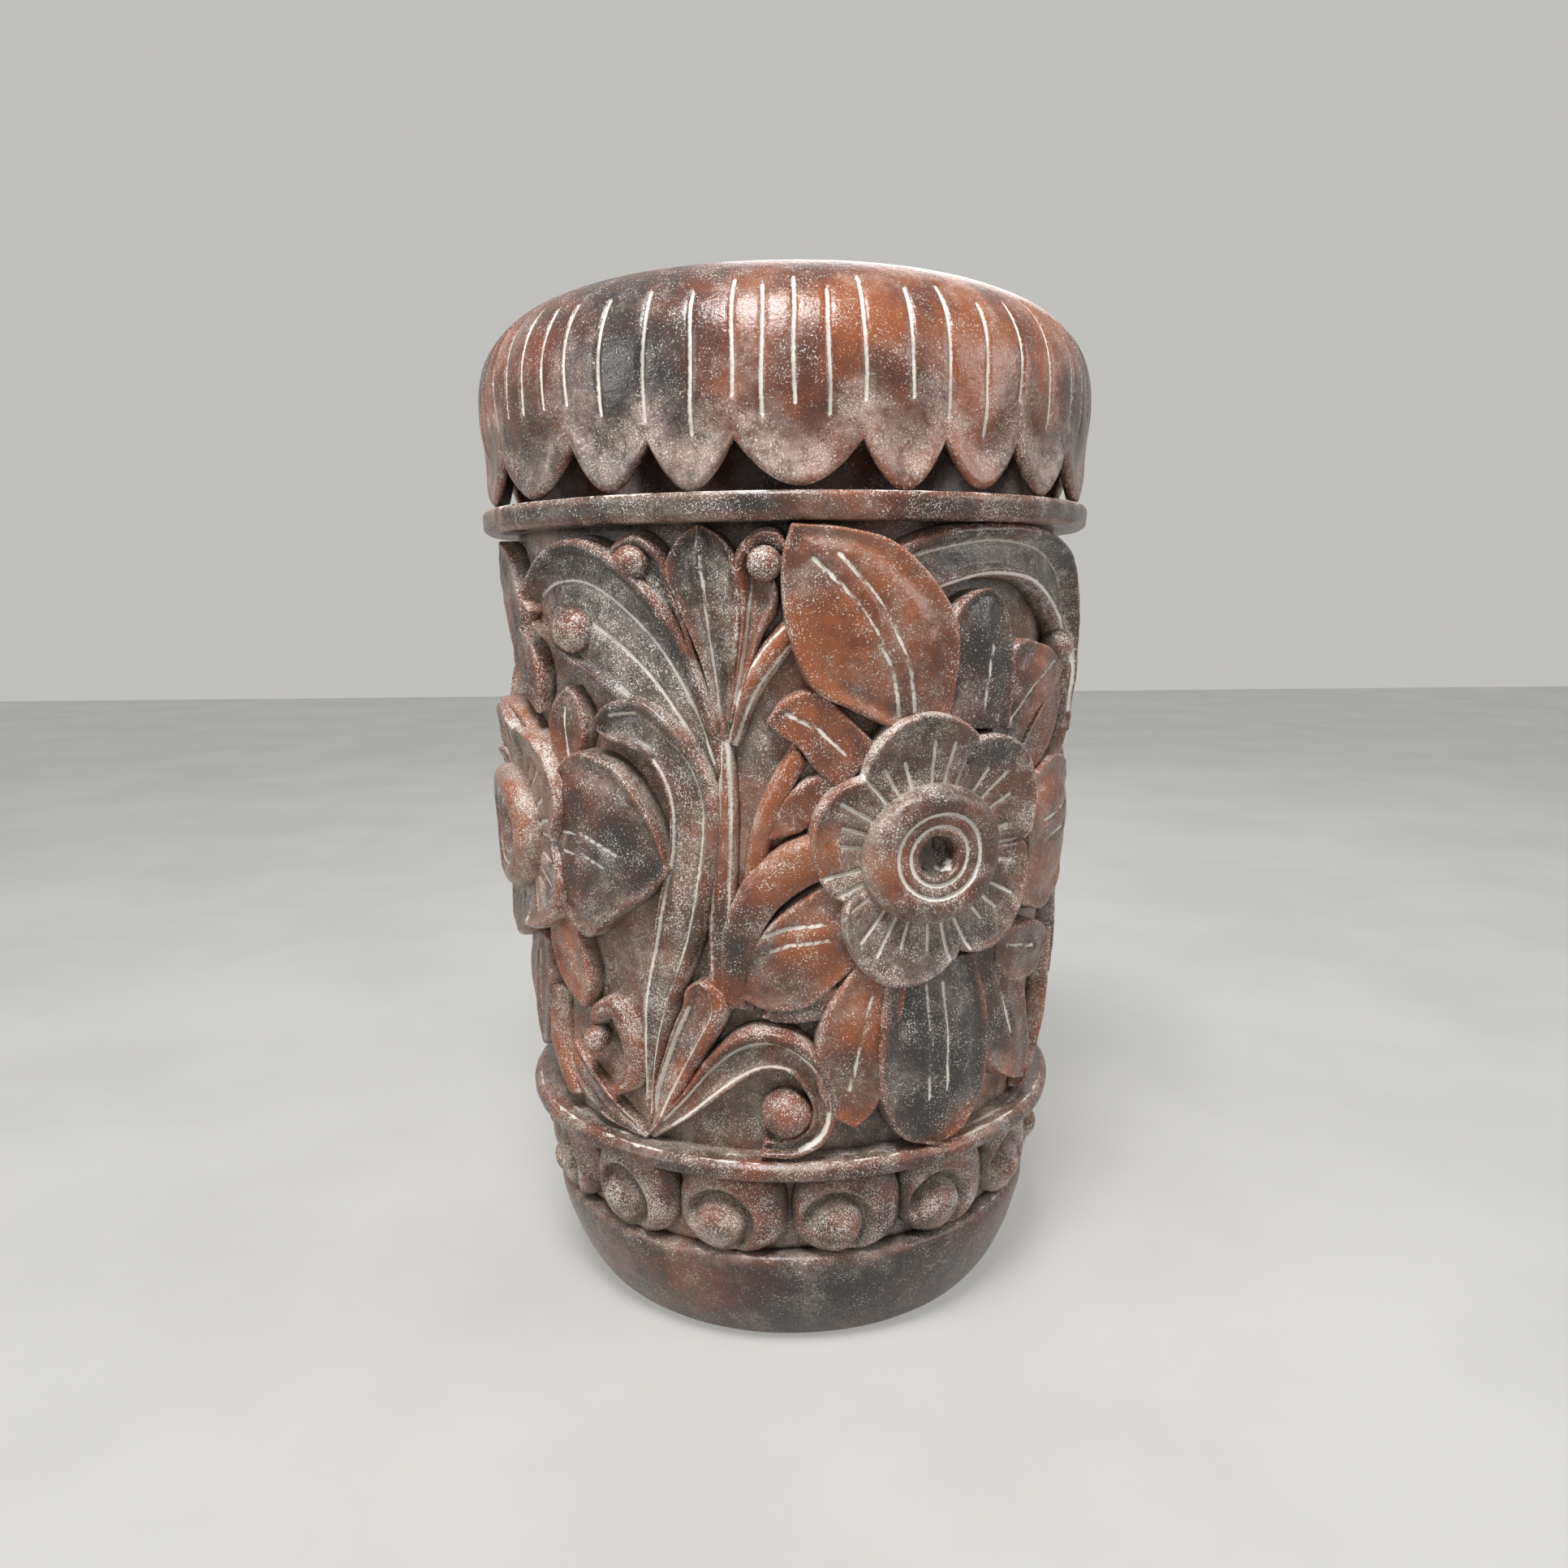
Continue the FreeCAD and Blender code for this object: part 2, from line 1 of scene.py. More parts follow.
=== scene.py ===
# %% [markdown]
# # A carved floor pot of smoke-fired terracotta
# The pot is thrown and built from coils, and carved while the clay is leather hard. Flowers,
# leaves and scrolls stand proud of the drum, and a collar of petals hangs over its neck. Pale
# lime wash was rubbed into the cut lines and wiped off the high spots. The construction model
# gives every size, so the first cell opens it and reads the boxes of its parts.

# %% Open the construction model
import math

import bpy
import numpy as np
from mathutils import Matrix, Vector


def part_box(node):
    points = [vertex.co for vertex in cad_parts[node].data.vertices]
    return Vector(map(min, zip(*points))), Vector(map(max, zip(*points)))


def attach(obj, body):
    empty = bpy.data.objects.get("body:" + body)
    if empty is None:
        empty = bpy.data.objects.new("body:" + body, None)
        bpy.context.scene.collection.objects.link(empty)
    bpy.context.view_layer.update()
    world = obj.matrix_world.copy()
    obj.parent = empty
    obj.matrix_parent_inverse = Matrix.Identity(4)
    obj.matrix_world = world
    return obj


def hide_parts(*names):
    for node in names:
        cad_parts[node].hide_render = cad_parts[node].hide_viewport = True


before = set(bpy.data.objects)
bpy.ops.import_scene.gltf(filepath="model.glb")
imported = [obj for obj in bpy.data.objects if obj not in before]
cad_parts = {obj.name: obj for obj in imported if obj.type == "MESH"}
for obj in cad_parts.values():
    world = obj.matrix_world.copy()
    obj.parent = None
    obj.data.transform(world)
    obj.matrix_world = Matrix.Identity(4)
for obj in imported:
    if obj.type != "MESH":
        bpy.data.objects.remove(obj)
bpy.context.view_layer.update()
MM = 0.001


def box_mm(node):
    """A node's lowest and highest corners, in millimetres."""
    low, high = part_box(node)
    return np.array(low) / MM, np.array(high) / MM


foot_top = box_mm("foot")[1][2]
ledge_low, field_low = box_mm("ledge_ring")[0][2], box_mm("ledge_ring")[1][2]
field_high, band_top = box_mm("band_ring")[0][2], box_mm("band_ring")[1][2]
collar_low, collar_top = box_mm("petal_collar")[0][2], box_mm("petal_collar")[1][2]
collar_radius = box_mm("petal_collar")[1][0]
print("pot height", round(collar_top, 1), "mm, collar radius", round(collar_radius, 1), "mm")

# %% [markdown]
# ## The camera
# The photograph was taken from close by, a little above the middle of the pot, looking slightly
# down. A short lens that near makes the collar look wide, so the distance matters more than the
# zoom. The values are where the lens stood, in the pot's own frame.

# %% Set up the camera
photo_width = 1932
focal_pixels = 1450
sensor_mm = 36.0
camera_place_mm = (-2.4, -718.4, 407.4)
camera_pitch_degrees = 9.318
camera_roll_degrees = 0.56

camera_data = bpy.data.cameras.new("camera")
camera_data.sensor_width = sensor_mm
camera_data.lens = focal_pixels / photo_width * sensor_mm
camera = bpy.data.objects.new("camera", camera_data)
tilt = Matrix.Rotation(math.radians(90 - camera_pitch_degrees), 4, "X")
roll = Matrix.Rotation(-math.radians(camera_roll_degrees), 4, "Z")
camera.matrix_world = Matrix.Translation([c * MM for c in camera_place_mm]) @ tilt @ roll
bpy.context.collection.objects.link(camera)
bpy.context.scene.camera = camera
bpy.context.scene.view_settings.view_transform = "Standard"
print("lens", round(camera_data.lens, 2), "mm")

# %% [markdown]
# ## Colours and nodes
# Colours are written as they look on a screen, in hex. A shader wants linear light, so one
# function turns them. One more adds a node with its settings and its links, which keeps the
# material cells short enough to read as a recipe.


# %% Helpers for colour and nodes
def linear(hex_colour):
    """A screen colour as the linear values that a shader needs."""
    values = [int(hex_colour[i : i + 2], 16) / 255 for i in (0, 2, 4)]
    return [v / 12.92 if v <= 0.04045 else ((v + 0.055) / 1.055) ** 2.4 for v in values] + [1.0]


def add_node(tree, kind, settings=None, **inputs):
    """Adds a node. Settings are its properties, and inputs are values or other nodes' outputs."""
    node = tree.nodes.new(kind)
    for key, value in (settings or {}).items():
        setattr(node, key, value)
    for key, value in inputs.items():
        name = key.replace("_", " ")
        by_number = key.startswith("in") and key[2:].isdigit()
        socket = node.inputs[int(key[2:])] if by_number else node.inputs[name]
        if isinstance(value, bpy.types.NodeSocket):
            tree.links.new(value, socket)
        else:
            socket.default_value = value
    return node


def per_metre(size_mm):
    """The scale that makes a texture's features about this many millimetres wide."""
    return 1.0 / (size_mm * MM)


print("lime white in linear light:", [round(v, 3) for v in linear("E8E2D8")])

# %% [markdown]
# ## Smoke-fired terracotta
# Terracotta is red-orange clay, fired low. Here the fire's smoke clouded it from orange through
# brown to charcoal, and the potter burnished it, which gives the satin shine of its high spots.
# Then lime wash went on and was wiped: it stays white in the cut lines, grey in the hollows, and
# as fine speckle in the open grain. Edges and high spots are painted lighter and redder, with more
# speckle: partly wear, partly painted highlight. Each of those is one layer of the recipe. The
# piece's mesh says where they go, with four values at each point: how smoky the clay is, how far
# the nearest cut line is, how far the nearest edge is, and how much wash it caught.

# %% Values for the terracotta
ORANGE, RUSSET, BROWN, CHARCOAL = "884B2B", "653928", "4A2F26", "312C2B"
WORN_AND_HIGHLIGHT, WASH, ROSY_WASH_AND_SHEEN, LIME = "9A5F48", "A89A8C", "BEA598", "E8E2D8"
cloud_mm, mottle_mm = 38.0, 9.0
speckle_mm, grain_mm = 0.8, 2.1
groove_half_mm = 1.1
cloud_strength, mottle_strength = 2.2, 0.7
film_share, dot_share, line_share = 0.66, 0.66, 0.86
burnish = 0.19
LAYER_NAMES = ("smoke", "groove", "rim", "wash")


def stretch(tree, value, low, high, to_low=0.0, to_high=1.0):
    """Maps a range of values on to another, and clamps it."""
    names = {"From_Min": low, "From_Max": high, "To_Min": to_low, "To_Max": to_high}
    smooth = {"interpolation_type": "SMOOTHSTEP"}
    return add_node(tree, "ShaderNodeMapRange", smooth, Value=value, **names).outputs["Result"]


def noise(tree, place, size_mm, detail=4.0, rough=0.55):
    settings = {"Vector": place, "Scale": per_metre(size_mm), "Detail": detail, "Roughness": rough}
    return add_node(tree, "ShaderNodeTexNoise", None, **settings).outputs["Fac"]


def sums(tree, operation, a, b):
    settings = {"operation": operation, "use_clamp": False}
    return add_node(tree, "ShaderNodeMath", settings, in0=a, in1=b).outputs[0]


def blend_colours(tree, amount, under, over):
    node = tree.nodes.new("ShaderNodeMix")
    node.data_type = "RGBA"
    for name, value in (("Factor_Float", amount), ("A_Color", under), ("B_Color", over)):
        socket = next(s for s in node.inputs if s.identifier == name)
        if isinstance(value, bpy.types.NodeSocket):
            tree.links.new(value, socket)
        else:
            socket.default_value = value
    return next(s for s in node.outputs if s.identifier == "Result_Color")


print("layers on each mesh:", ", ".join(LAYER_NAMES))


# %% The terracotta recipe
def fired_clay(name, speckle, wash, shine, tone=0.0, wash_and_sheen_colour=WASH):
    """Smoke-fired, burnished and lime-washed terracotta."""
    material = bpy.data.materials.new(name)
    material.use_nodes = True
    tree = material.node_tree
    tree.nodes.clear()
    place = add_node(tree, "ShaderNodeTexCoord").outputs["Object"]
    layers = {}
    for key in LAYER_NAMES:
        layers[key] = add_node(tree, "ShaderNodeAttribute", {"attribute_name": key}).outputs["Fac"]

    clouds = sums(tree, "SUBTRACT", noise(tree, place, cloud_mm, 5.0), 0.5)
    clouds = sums(tree, "MULTIPLY", clouds, cloud_strength)
    mottle = sums(tree, "SUBTRACT", noise(tree, place, mottle_mm, 6.0, 0.7), 0.5)
    mottle = sums(tree, "MULTIPLY", mottle, mottle_strength)
    smoke = sums(tree, "ADD", sums(tree, "ADD", layers["smoke"], tone), sums(tree, "ADD", clouds, mottle))
    ramp = add_node(tree, "ShaderNodeValToRGB", None, Fac=smoke)
    stops = ((0.02, ORANGE), (0.34, RUSSET), (0.62, BROWN), (0.98, CHARCOAL))
    while len(ramp.color_ramp.elements) < len(stops):
        ramp.color_ramp.elements.new(0.5)
    for element, (place_share, colour) in zip(ramp.color_ramp.elements, stops):
        element.position = place_share
        element.color = linear(colour)
    # Edges and high spots are painted lighter and redder: partly wear where the wash was wiped off, partly
    # painted highlight.
    rubbed_and_highlight = stretch(tree, noise(tree, place, 14.0, 4.0), 0.35, 0.65, 0.2, 1.0)
    rubbed_and_highlight = sums(tree, "MULTIPLY", rubbed_and_highlight, stretch(tree, layers["rim"], 0.5, 6.0, 0.55, 0.0))
    colour = blend_colours(tree, rubbed_and_highlight, ramp.outputs["Color"], linear(WORN_AND_HIGHLIGHT))

    # A pale film of wash; on the collar it is rosy and partly painted sheen.
    smear = noise(tree, place, 6.0, 9.0, 0.78)
    drifts = stretch(tree, noise(tree, place, 30.0, 4.0), 0.38, 0.66, 0.03, 0.62)
    caught = sums(tree, "ADD", layers["wash"], drifts)
    film = sums(tree, "MULTIPLY", caught, stretch(tree, smear, 0.32, 0.66, 0.3, 1.0))
    film = stretch(tree, film, 0.0, 1.15, 0.0, film_share * wash)
    colour = blend_colours(tree, film, colour, linear(wash_and_sheen_colour))

    fine = noise(tree, place, speckle_mm, 2.0, 0.6)
    patches = stretch(tree, noise(tree, place, 15.0, 5.0, 0.65), 0.36, 0.66, 0.0, 0.11 * speckle)
    # More white speckle near edges: partly lime dust, partly painted highlight.
    edge_speckle_and_highlight = stretch(tree, layers["rim"], 0.0, 4.0, 0.075, 0.0)
    dust_highlight_mix = sums(tree, "ADD", edge_speckle_and_highlight, stretch(tree, layers["wash"], 0.1, 0.9, 0.0, 0.055))
    threshold = sums(tree, "SUBTRACT", 0.665, sums(tree, "ADD", patches, dust_highlight_mix))
    dots = stretch(tree, sums(tree, "SUBTRACT", fine, threshold), -0.02, 0.06, 0.0, dot_share)
    colour = blend_colours(tree, dots, colour, linear(LIME))

    ragged = sums(tree, "SUBTRACT", noise(tree, place, 2.2, 3.0, 0.7), 0.5)
    gap = sums(tree, "ADD", layers["groove"], sums(tree, "MULTIPLY", ragged, 1.4))
    line = stretch(tree, gap, groove_half_mm * 0.5, groove_half_mm * 1.05, line_share, 0.0)
    line = sums(tree, "MULTIPLY", line, stretch(tree, noise(tree, place, 21.0, 3.0), 0.3, 0.55, 0.6, 1.0))
    colour = blend_colours(tree, line, colour, linear(LIME))

    leather = noise(tree, place, grain_mm, 4.0, 0.6)
    relief = sums(tree, "ADD", sums(tree, "MULTIPLY", leather, 0.55), sums(tree, "MULTIPLY", dots, 0.25))
    relief = sums(tree, "ADD", relief, sums(tree, "MULTIPLY", noise(tree, place, 7.0, 3.0), 0.8))
    bump = add_node(tree, "ShaderNodeBump", None, Height=relief, Strength=0.6, Distance=MM)

    lime = sums(tree, "MAXIMUM", film, sums(tree, "MAXIMUM", dots, line))
    dull = sums(tree, "ADD", sums(tree, "MULTIPLY", lime, 0.4), shine - burnish)
    rough = sums(tree, "ADD", dull, sums(tree, "MULTIPLY", smear, 0.12))
    looks = {"Base_Color": colour, "Roughness": rough, "IOR": 1.5, "Normal": bump.outputs["Normal"]}
    shader = add_node(tree, "ShaderNodeBsdfPrincipled", None, **looks)
    shader.inputs["Specular IOR Level"].default_value = 0.5
    out = add_node(tree, "ShaderNodeOutputMaterial")
    tree.links.new(shader.outputs["BSDF"], out.inputs["Surface"])
    return material


print("smoke, wear, wash film, dots and lines make one clay")

# %% Eight finishes
# Each: its name, how much speckle, how much wash, how rough before burnishing, how much darker.
finishes = {
    "wall_clay": ("carved_ground_terracotta", 0.9, 1.0, 0.48, -0.1),
    "foot_clay": ("burnished_foot_terracotta", 0.6, 0.85, 0.36, 0.26),
    "ring_clay": ("turned_ring_terracotta", 1.0, 0.8, 0.38, 0.16),
    # The collar's rosy film is partly lime haze and partly painted sheen.
    "collar_clay": ("burnished_collar_terracotta", 0.8, 1.05, 0.36, 0.0, ROSY_WASH_AND_SHEEN),
    "frieze_clay": ("frieze_terracotta", 1.0, 0.75, 0.38, 0.24),
    "flower_clay": ("flower_terracotta", 1.2, 0.8, 0.36, 0.05),
    "leaf_clay": ("leaf_terracotta", 0.9, 0.85, 0.35, 0.04),
    "scroll_clay": ("scroll_terracotta", 1.15, 0.66, 0.35, -0.04),
}
clay = {slot_name: fired_clay(*values) for slot_name, values in finishes.items()}
print(len(clay), "finishes of one clay")

# %% [markdown]
# ## Clay as a grid of points
# Every piece is a sheet of points that closes on itself, so one function can turn a grid into a
# mesh. The grid wraps round in one direction, like a tube, and either wraps in the other one, like
# a ring, or has its two ends capped. Its faces must point outwards, which the sign of its volume
# tells. A smooth noise of a chosen size gives the hand's unevenness to the shape itself.


# %% Helpers for clay shapes
no_line = 99.0


def hand_noise(points, size_mm, seed):
    """Smooth noise from -1 to 1 on an array of points, with lumps of about one size."""
    scaled = points / size_mm + seed * 17.3
    cell = np.floor(scaled)
    inside = scaled - cell
    ease = inside * inside * (3 - 2 * inside)
    total = np.zeros(points.shape[:-1])
    for corner in np.ndindex(2, 2, 2):
        lattice = cell + corner
        mixed = np.sin(lattice @ np.array([127.1, 311.7, 74.7])) * 43758.5453
        weight = np.prod(np.where(np.array(corner), ease, 1 - ease), axis=-1)
        total += weight * (2 * (mixed - np.floor(mixed)) - 1)
    return total


def smooth_line(points, count):
    """A smooth curve through a few given points, evenly spaced."""
    p = np.array(points, float)
    p = np.vstack([2 * p[0] - p[1], p, 2 * p[-1] - p[-2]])
    fine = []
    steps = 24
    for a, b, c, d in zip(p, p[1:], p[2:], p[3:]):
        t = np.arange(steps)[:, None] / steps
        bend, twist = 2 * a - 5 * b + 4 * c - d, 3 * b - a - 3 * c + d
        fine.append(0.5 * (2 * b + (c - a) * t + bend * t**2 + twist * t**3))
    fine = np.vstack(fine + [p[-2][None]])
    along = np.concatenate([[0], np.cumsum(np.linalg.norm(np.diff(fine, axis=0), axis=1))])
    want = np.linspace(0, along[-1], count)
    return np.stack([np.interp(want, along, fine[:, k]) for k in range(fine.shape[1])], axis=-1)


def mesh_from_grid(name, grids, slot_name):
    """A closed mesh from grids of points in mm, each with its four layers of values."""
    verts, faces, values = [], [], {k: [] for k in LAYER_NAMES}
    start = 0
    for grid in grids:
        points = grid["points"]
        rows, across = points.shape[:2]
        ids = np.arange(rows * across).reshape(rows, across)
        following = np.roll(ids, -1, axis=0) if grid["ring"] else ids[1:]
        first = ids if grid["ring"] else ids[:-1]
        beside, beyond = np.roll(first, -1, 1), np.roll(following, -1, 1)
        quads = np.stack([first, beside, beyond, following], -1).reshape(-1, 4)
        flat = points.reshape(-1, 3)
        a, b, c, d = (flat[quads[:, k]] for k in range(4))
        volume = np.einsum("ij,ij->", a, np.cross(b, c)) + np.einsum("ij,ij->", a, np.cross(c, d))
        caps = [] if grid["ring"] else [ids[0][::-1], ids[-1]]
        if volume < 0:
            quads = quads[:, ::-1]
            caps = [cap[::-1] for cap in caps]
        faces += (quads + start).tolist() + [(cap + start).tolist() for cap in caps]
        verts.append(flat)
        for key in LAYER_NAMES:
            values[key].append(np.broadcast_to(grid[key], (rows, across)).reshape(-1))
        start += len(flat)
    mesh = bpy.data.meshes.new(name)
    mesh.from_pydata(np.vstack(verts) * MM, [], faces)
    for key in LAYER_NAMES:
        layer = mesh.attributes.new(key, "FLOAT", "POINT")
        layer.data.foreach_set("value", np.concatenate(values[key]).astype(np.float32))
    mesh.polygons.foreach_set("use_smooth", [True] * len(mesh.polygons))
    mesh.materials.append(clay[slot_name])
    piece = bpy.data.objects.new(name, mesh)
    bpy.context.collection.objects.link(piece)
    return piece


made_pieces = {}


def keep(piece, node):
    """Hangs a finished piece on the frame in place of its construction solid."""
    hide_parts(node)
    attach(piece, "root")
    made_pieces[node] = len(piece.data.polygons)


def polar(radius, degrees, z):
    """Points round the pot's axis: angles go from the front, positive to the right."""
    turn = np.radians(degrees)
    return np.stack(np.broadcast_arrays(radius * np.sin(turn), -radius * np.cos(turn), z), axis=-1)


print("noise at the origin", round(float(hand_noise(np.zeros((1, 3)), 10.0, 1)[0]), 3))

# %% [markdown]
# ## Where the fire left its clouds
# The collar is charcoal to the left and orange to the right, and the leaves differ one by one. A
# few soft round clouds, each placed on the pot, say where the clay is darker or warmer.
# Both halves of the pot get their own, so the back isn't a copy of the front.

# %% Smoke clouds
# Each cloud: degrees round the pot, height, radius (both in mm) and how much darker it is.
clouds = (
    (-26, 520, 42, 0.55), (-34, 470, 34, 0.35), (-12, 480, 30, 0.3), (-2, 492, 34, -0.05),
    (10, 520, 46, -0.22), (18, 500, 26, 0.22), (32, 515, 44, -0.3), (48, 545, 40, -0.2),
    (62, 500, 45, 0.15), (-60, 520, 45, -0.05), (-8, 540, 30, -0.2), (3, 470, 26, 0.12),
    (30, 470, 26, -0.15), (-50, 470, 30, 0.1), (14, 445, 46, -0.2), (38, 445, 40, -0.25),
    (-30, 445, 40, 0.15), (-5, 445, 26, 0.2), (30, 415, 40, 0.5), (55, 430, 44, 0.6),
    (-20, 400, 46, 0.35), (-40, 415, 42, 0.35), (-26, 352, 26, 0.4), (-8, 230, 22, 0.5),
    (0, 265, 22, -0.3), (30, 230, 30, 0.45), (40, 340, 26, 0.3), (52, 365, 18, -0.35),
    (27, 170, 34, 0.75), (33, 128, 16, -0.65), (14, 190, 22, -0.3), (48, 200, 26, 0.15),
    (-12, 300, 26, -0.12), (22, 85, 24, 0.7), (-15, 90, 30, -0.1), (60, 90, 30, -0.2),
    (-36, 150, 30, -0.1), (2, 170, 26, 0.25), (-5, 30, 60, 0.1), (25, 45, 40, 0.35),
    (-35, 30, 44, -0.2), (-62, 290, 40, -0.35), (112, 520, 60, 0.5), (150, 500, 60, -0.35),
    (200, 520, 60, 0.45), (240, 500, 50, -0.3), (170, 300, 60, 0.3), (205, 380, 50, -0.4),
    (120, 230, 50, 0.35), (250, 220, 50, 0.3), (140, 160, 40, -0.35), (215, 170, 40, 0.5),
    (180, 40, 60, 0.3), (120, 40, 50, -0.2), (250, 40, 50, 0.2),
)
common_smoke = 0.42
mid_radius = 160.0


def smoke_at(points):
    """How smoky the clay is at each point, from 0, orange, to 1, charcoal."""
    degrees = np.degrees(np.arctan2(points[..., 0], -points[..., 1]))
    level = np.full(points.shape[:-1], common_smoke)
    for cloud_degrees, height, radius, amount in clouds:
        turn = (degrees - cloud_degrees + 180) % 360 - 180
        gap = (mid_radius * np.radians(turn)) ** 2 + (points[..., 2] - height) ** 2
        level += amount * np.exp(-gap / radius**2)
    return level


print(len(clouds), "clouds")

# %% [markdown]
# ## Turned rings
# The foot, wall, ledge and band are rings: one outline taken round the pot. A ring made by a
# computer is too true, so each outline is softened at its corners like damp clay, and the surface
# wanders by up to a millimetre. A ragged white line runs along some top edges: partly lime dust,
# partly painted highlight.


# %% Helpers for turned rings
def soft_outline(corners, step, passes):
    """A closed outline with even points and corners that are rounded like wet clay."""
    corners = np.array(corners, float)
    dense = []
    for a, b in zip(corners, np.roll(corners, -1, axis=0)):
        count = max(1, int(np.linalg.norm(b - a) / step))
        dense.append(a + (b - a) * (np.arange(count) / count)[:, None])
    dense = np.vstack(dense)
    for _ in range(passes):
        dense = (np.roll(dense, 1, axis=0) + 2 * dense + np.roll(dense, -1, axis=0)) / 4
    return dense


def nearest(outline, spots):
    """How far each point of an outline is from the nearest of a few spots on it."""
    return np.min([np.linalg.norm(outline - np.array(s), axis=1) for s in spots], axis=0)


def dust_and_highlight_line(points, outline, spots, seed):
    """A ragged white line along an edge: partly lime dust, partly painted highlight."""
    if not spots:
        return np.full(points.shape[:2], no_line)
    patchy = 0.7 + 1.1 * hand_noise(points, 26.0, seed + 9) + 0.9 * hand_noise(points, 4.0, seed + 10)
    return np.clip(nearest(outline, spots)[None] * 0.9 + patchy, 0.45, no_line)


def turned_grid(outline, around, edges, hollows, wander, seed, wash_reach=9.0, dust_highlight_mix=()):
    """A ring of points from an outline, with its edges, its hollows and the hand's wander."""
    degrees = np.arange(around) * 360.0 / around
    points = polar(outline[None, :, 0], degrees[:, None], outline[None, :, 1])
    drift = wander * (hand_noise(points, 55.0, seed) + 0.45 * hand_noise(points, 11.0, seed + 1))
    outward = polar(1.0, degrees, 0.0)[:, None, :]
    points = points + outward * (drift - wander)[..., None]
    caught = np.exp(-nearest(outline, hollows) / wash_reach)
    return {
        "points": points,
        "ring": True,
        "smoke": smoke_at(points),
        "groove": dust_and_highlight_line(points, outline, dust_highlight_mix, seed),
        "rim": np.broadcast_to(nearest(outline, edges)[None], points.shape[:2]),
        "wash": np.broadcast_to(caught[None], points.shape[:2]),
    }


print("a square's corners soften to", len(soft_outline([(0, 0), (9, 0), (9, 9), (0, 9)], 3, 1)), "points")

# %% [markdown]
# Three rings stand clear of the carving. The foot is a shallow bowl with a drain hole and is the
# pot's floor too. The ledge and the band frame the carved field from below and from above.

# %% Foot, ledge and band
foot_low_radius, foot_high_radius, frieze_radius = 125.0, 148.0, 141.0
well_radius, floor_top, drain_radius = 105.0, 24.0, 12.5
wall_low_radius, wall_mid_radius, wall_high_radius, neck_radius = 147.0, 156.0, 159.0, 148.0
wall_thickness, ledge_radius, band_radius = 20.0, 161.0, 175.0

foot_side = [(130.5, 8.0), (136.0, 18.0), (140.6, 29.0), (144.2, 40.0), (146.8, 50.0)]
foot_outline = soft_outline(
    [(drain_radius, 0), (foot_low_radius - 1, 0)]
    + foot_side
    + [(foot_high_radius, foot_top - 2.5), (foot_high_radius - 2.5, foot_top), (122.0, foot_top)]
    + [(well_radius, floor_top), (drain_radius, floor_top)],
    2.6,
    2,
)
foot_outline[:, 1] = np.clip(foot_outline[:, 1], 0.0, foot_top)
foot_dust_highlight = [(149.0, foot_top), (145.0, foot_top)]
foot_grid = turned_grid(foot_outline, 400, [(148.0, foot_top)], [(142.0, foot_top)], 0.5, 3, 4.0, foot_dust_highlight)
foot_grid["points"][..., 2] = np.where(foot_outline[None, :, 1] < 0.2, 0.0, foot_grid["points"][..., 2])
foot = mesh_from_grid("foot_bowl", [foot_grid], "foot_clay")
keep(foot, "foot")

ledge_outline = soft_outline(
    [(136, ledge_low), (ledge_radius - 3, ledge_low + 0.5), (ledge_radius + 0.4, ledge_low + 3)]
    + [(ledge_radius + 0.6, field_low - 4.5), (ledge_radius - 3, field_low - 1)]
    + [(150, field_low), (136, field_low + 1)],
    1.2,
    1,
)
ledge_hollows, ledge_dust_highlight = [(149, field_low), (142, ledge_low)], [(158, field_low - 1), (152, field_low)]
ledge_grid = turned_grid(ledge_outline, 480, [(160, field_low)], ledge_hollows, 0.8, 5, 6.0, ledge_dust_highlight)
ledge = mesh_from_grid("ledge_under_carving", [ledge_grid], "ring_clay")
keep(ledge, "ledge_ring")

band_outline = soft_outline(
    [(142, field_high + 1), (166, field_high)]
    + [(band_radius - 3, field_high + 0.4), (band_radius + 0.2, field_high + 2.6)]
    + [(band_radius + 0.7, band_top - 2.0), (band_radius - 0.6, band_top), (142, band_top)],
    1.1,
    1,
)
band_edges, band_hollows = [(174, band_top), (174.5, field_high)], [(152, band_top), (160, field_high)]
band_dust = [(174.5, band_top)]
band_grid = turned_grid(band_outline, 520, band_edges, band_hollows, 0.8, 7, 7.0, band_dust)
band = mesh_from_grid("band_under_petals", [band_grid], "ring_clay")
keep(band, "band_ring")
print("faces of the rings", made_pieces)

# %% [markdown]
# ## The drum's wall
# Between the sprigs the ground is cut back with a loop tool, so it is rough and dark and holds a
# lot of wash. It swells a little at the middle. The same swell carries every leaf and scroll, so
# it is a function of the height that the later cells use too.


# %% The wall
def wall_radius(z):
    """The ground's radius in the carved field, which swells from low to high."""
    share = (z - field_low) / (field_high - field_low)
    low, mid, high = wall_low_radius, wall_mid_radius, wall_high_radius
    ends = low * (1 - share) * (1 - 2 * share) + 4 * mid * share * (1 - share)
    return ends + high * share * (2 * share - 1)


field_heights = np.arange(field_low, field_high, 2.6)
outer_wall = [(wall_radius(z), z) for z in field_heights]
inner_low, inner_high = frieze_radius - wall_thickness, neck_radius - wall_thickness
neck_top = collar_top - 26.0
wall_outline = soft_outline(
    [(inner_low, foot_top), (frieze_radius, foot_top), (frieze_radius, ledge_low)]
    + outer_wall
    + [(wall_high_radius, field_high), (neck_radius, band_top), (neck_radius, neck_top)]
    + [(inner_high, neck_top), (inner_high, band_top)]
    + [(wall_high_radius - wall_thickness, field_high - wall_thickness)]
    + [(inner_low, ledge_low)],
    4.0,
    1,
)
far_off = [(0, 0)]
wall_grid = turned_grid(wall_outline, 352, far_off, far_off, 1.1, 9)
outer = wall_outline[:, 0] > inner_high + 4
tooled = hand_noise(wall_grid["points"], 9.0, 21) * 0.6 * outer[None, :]
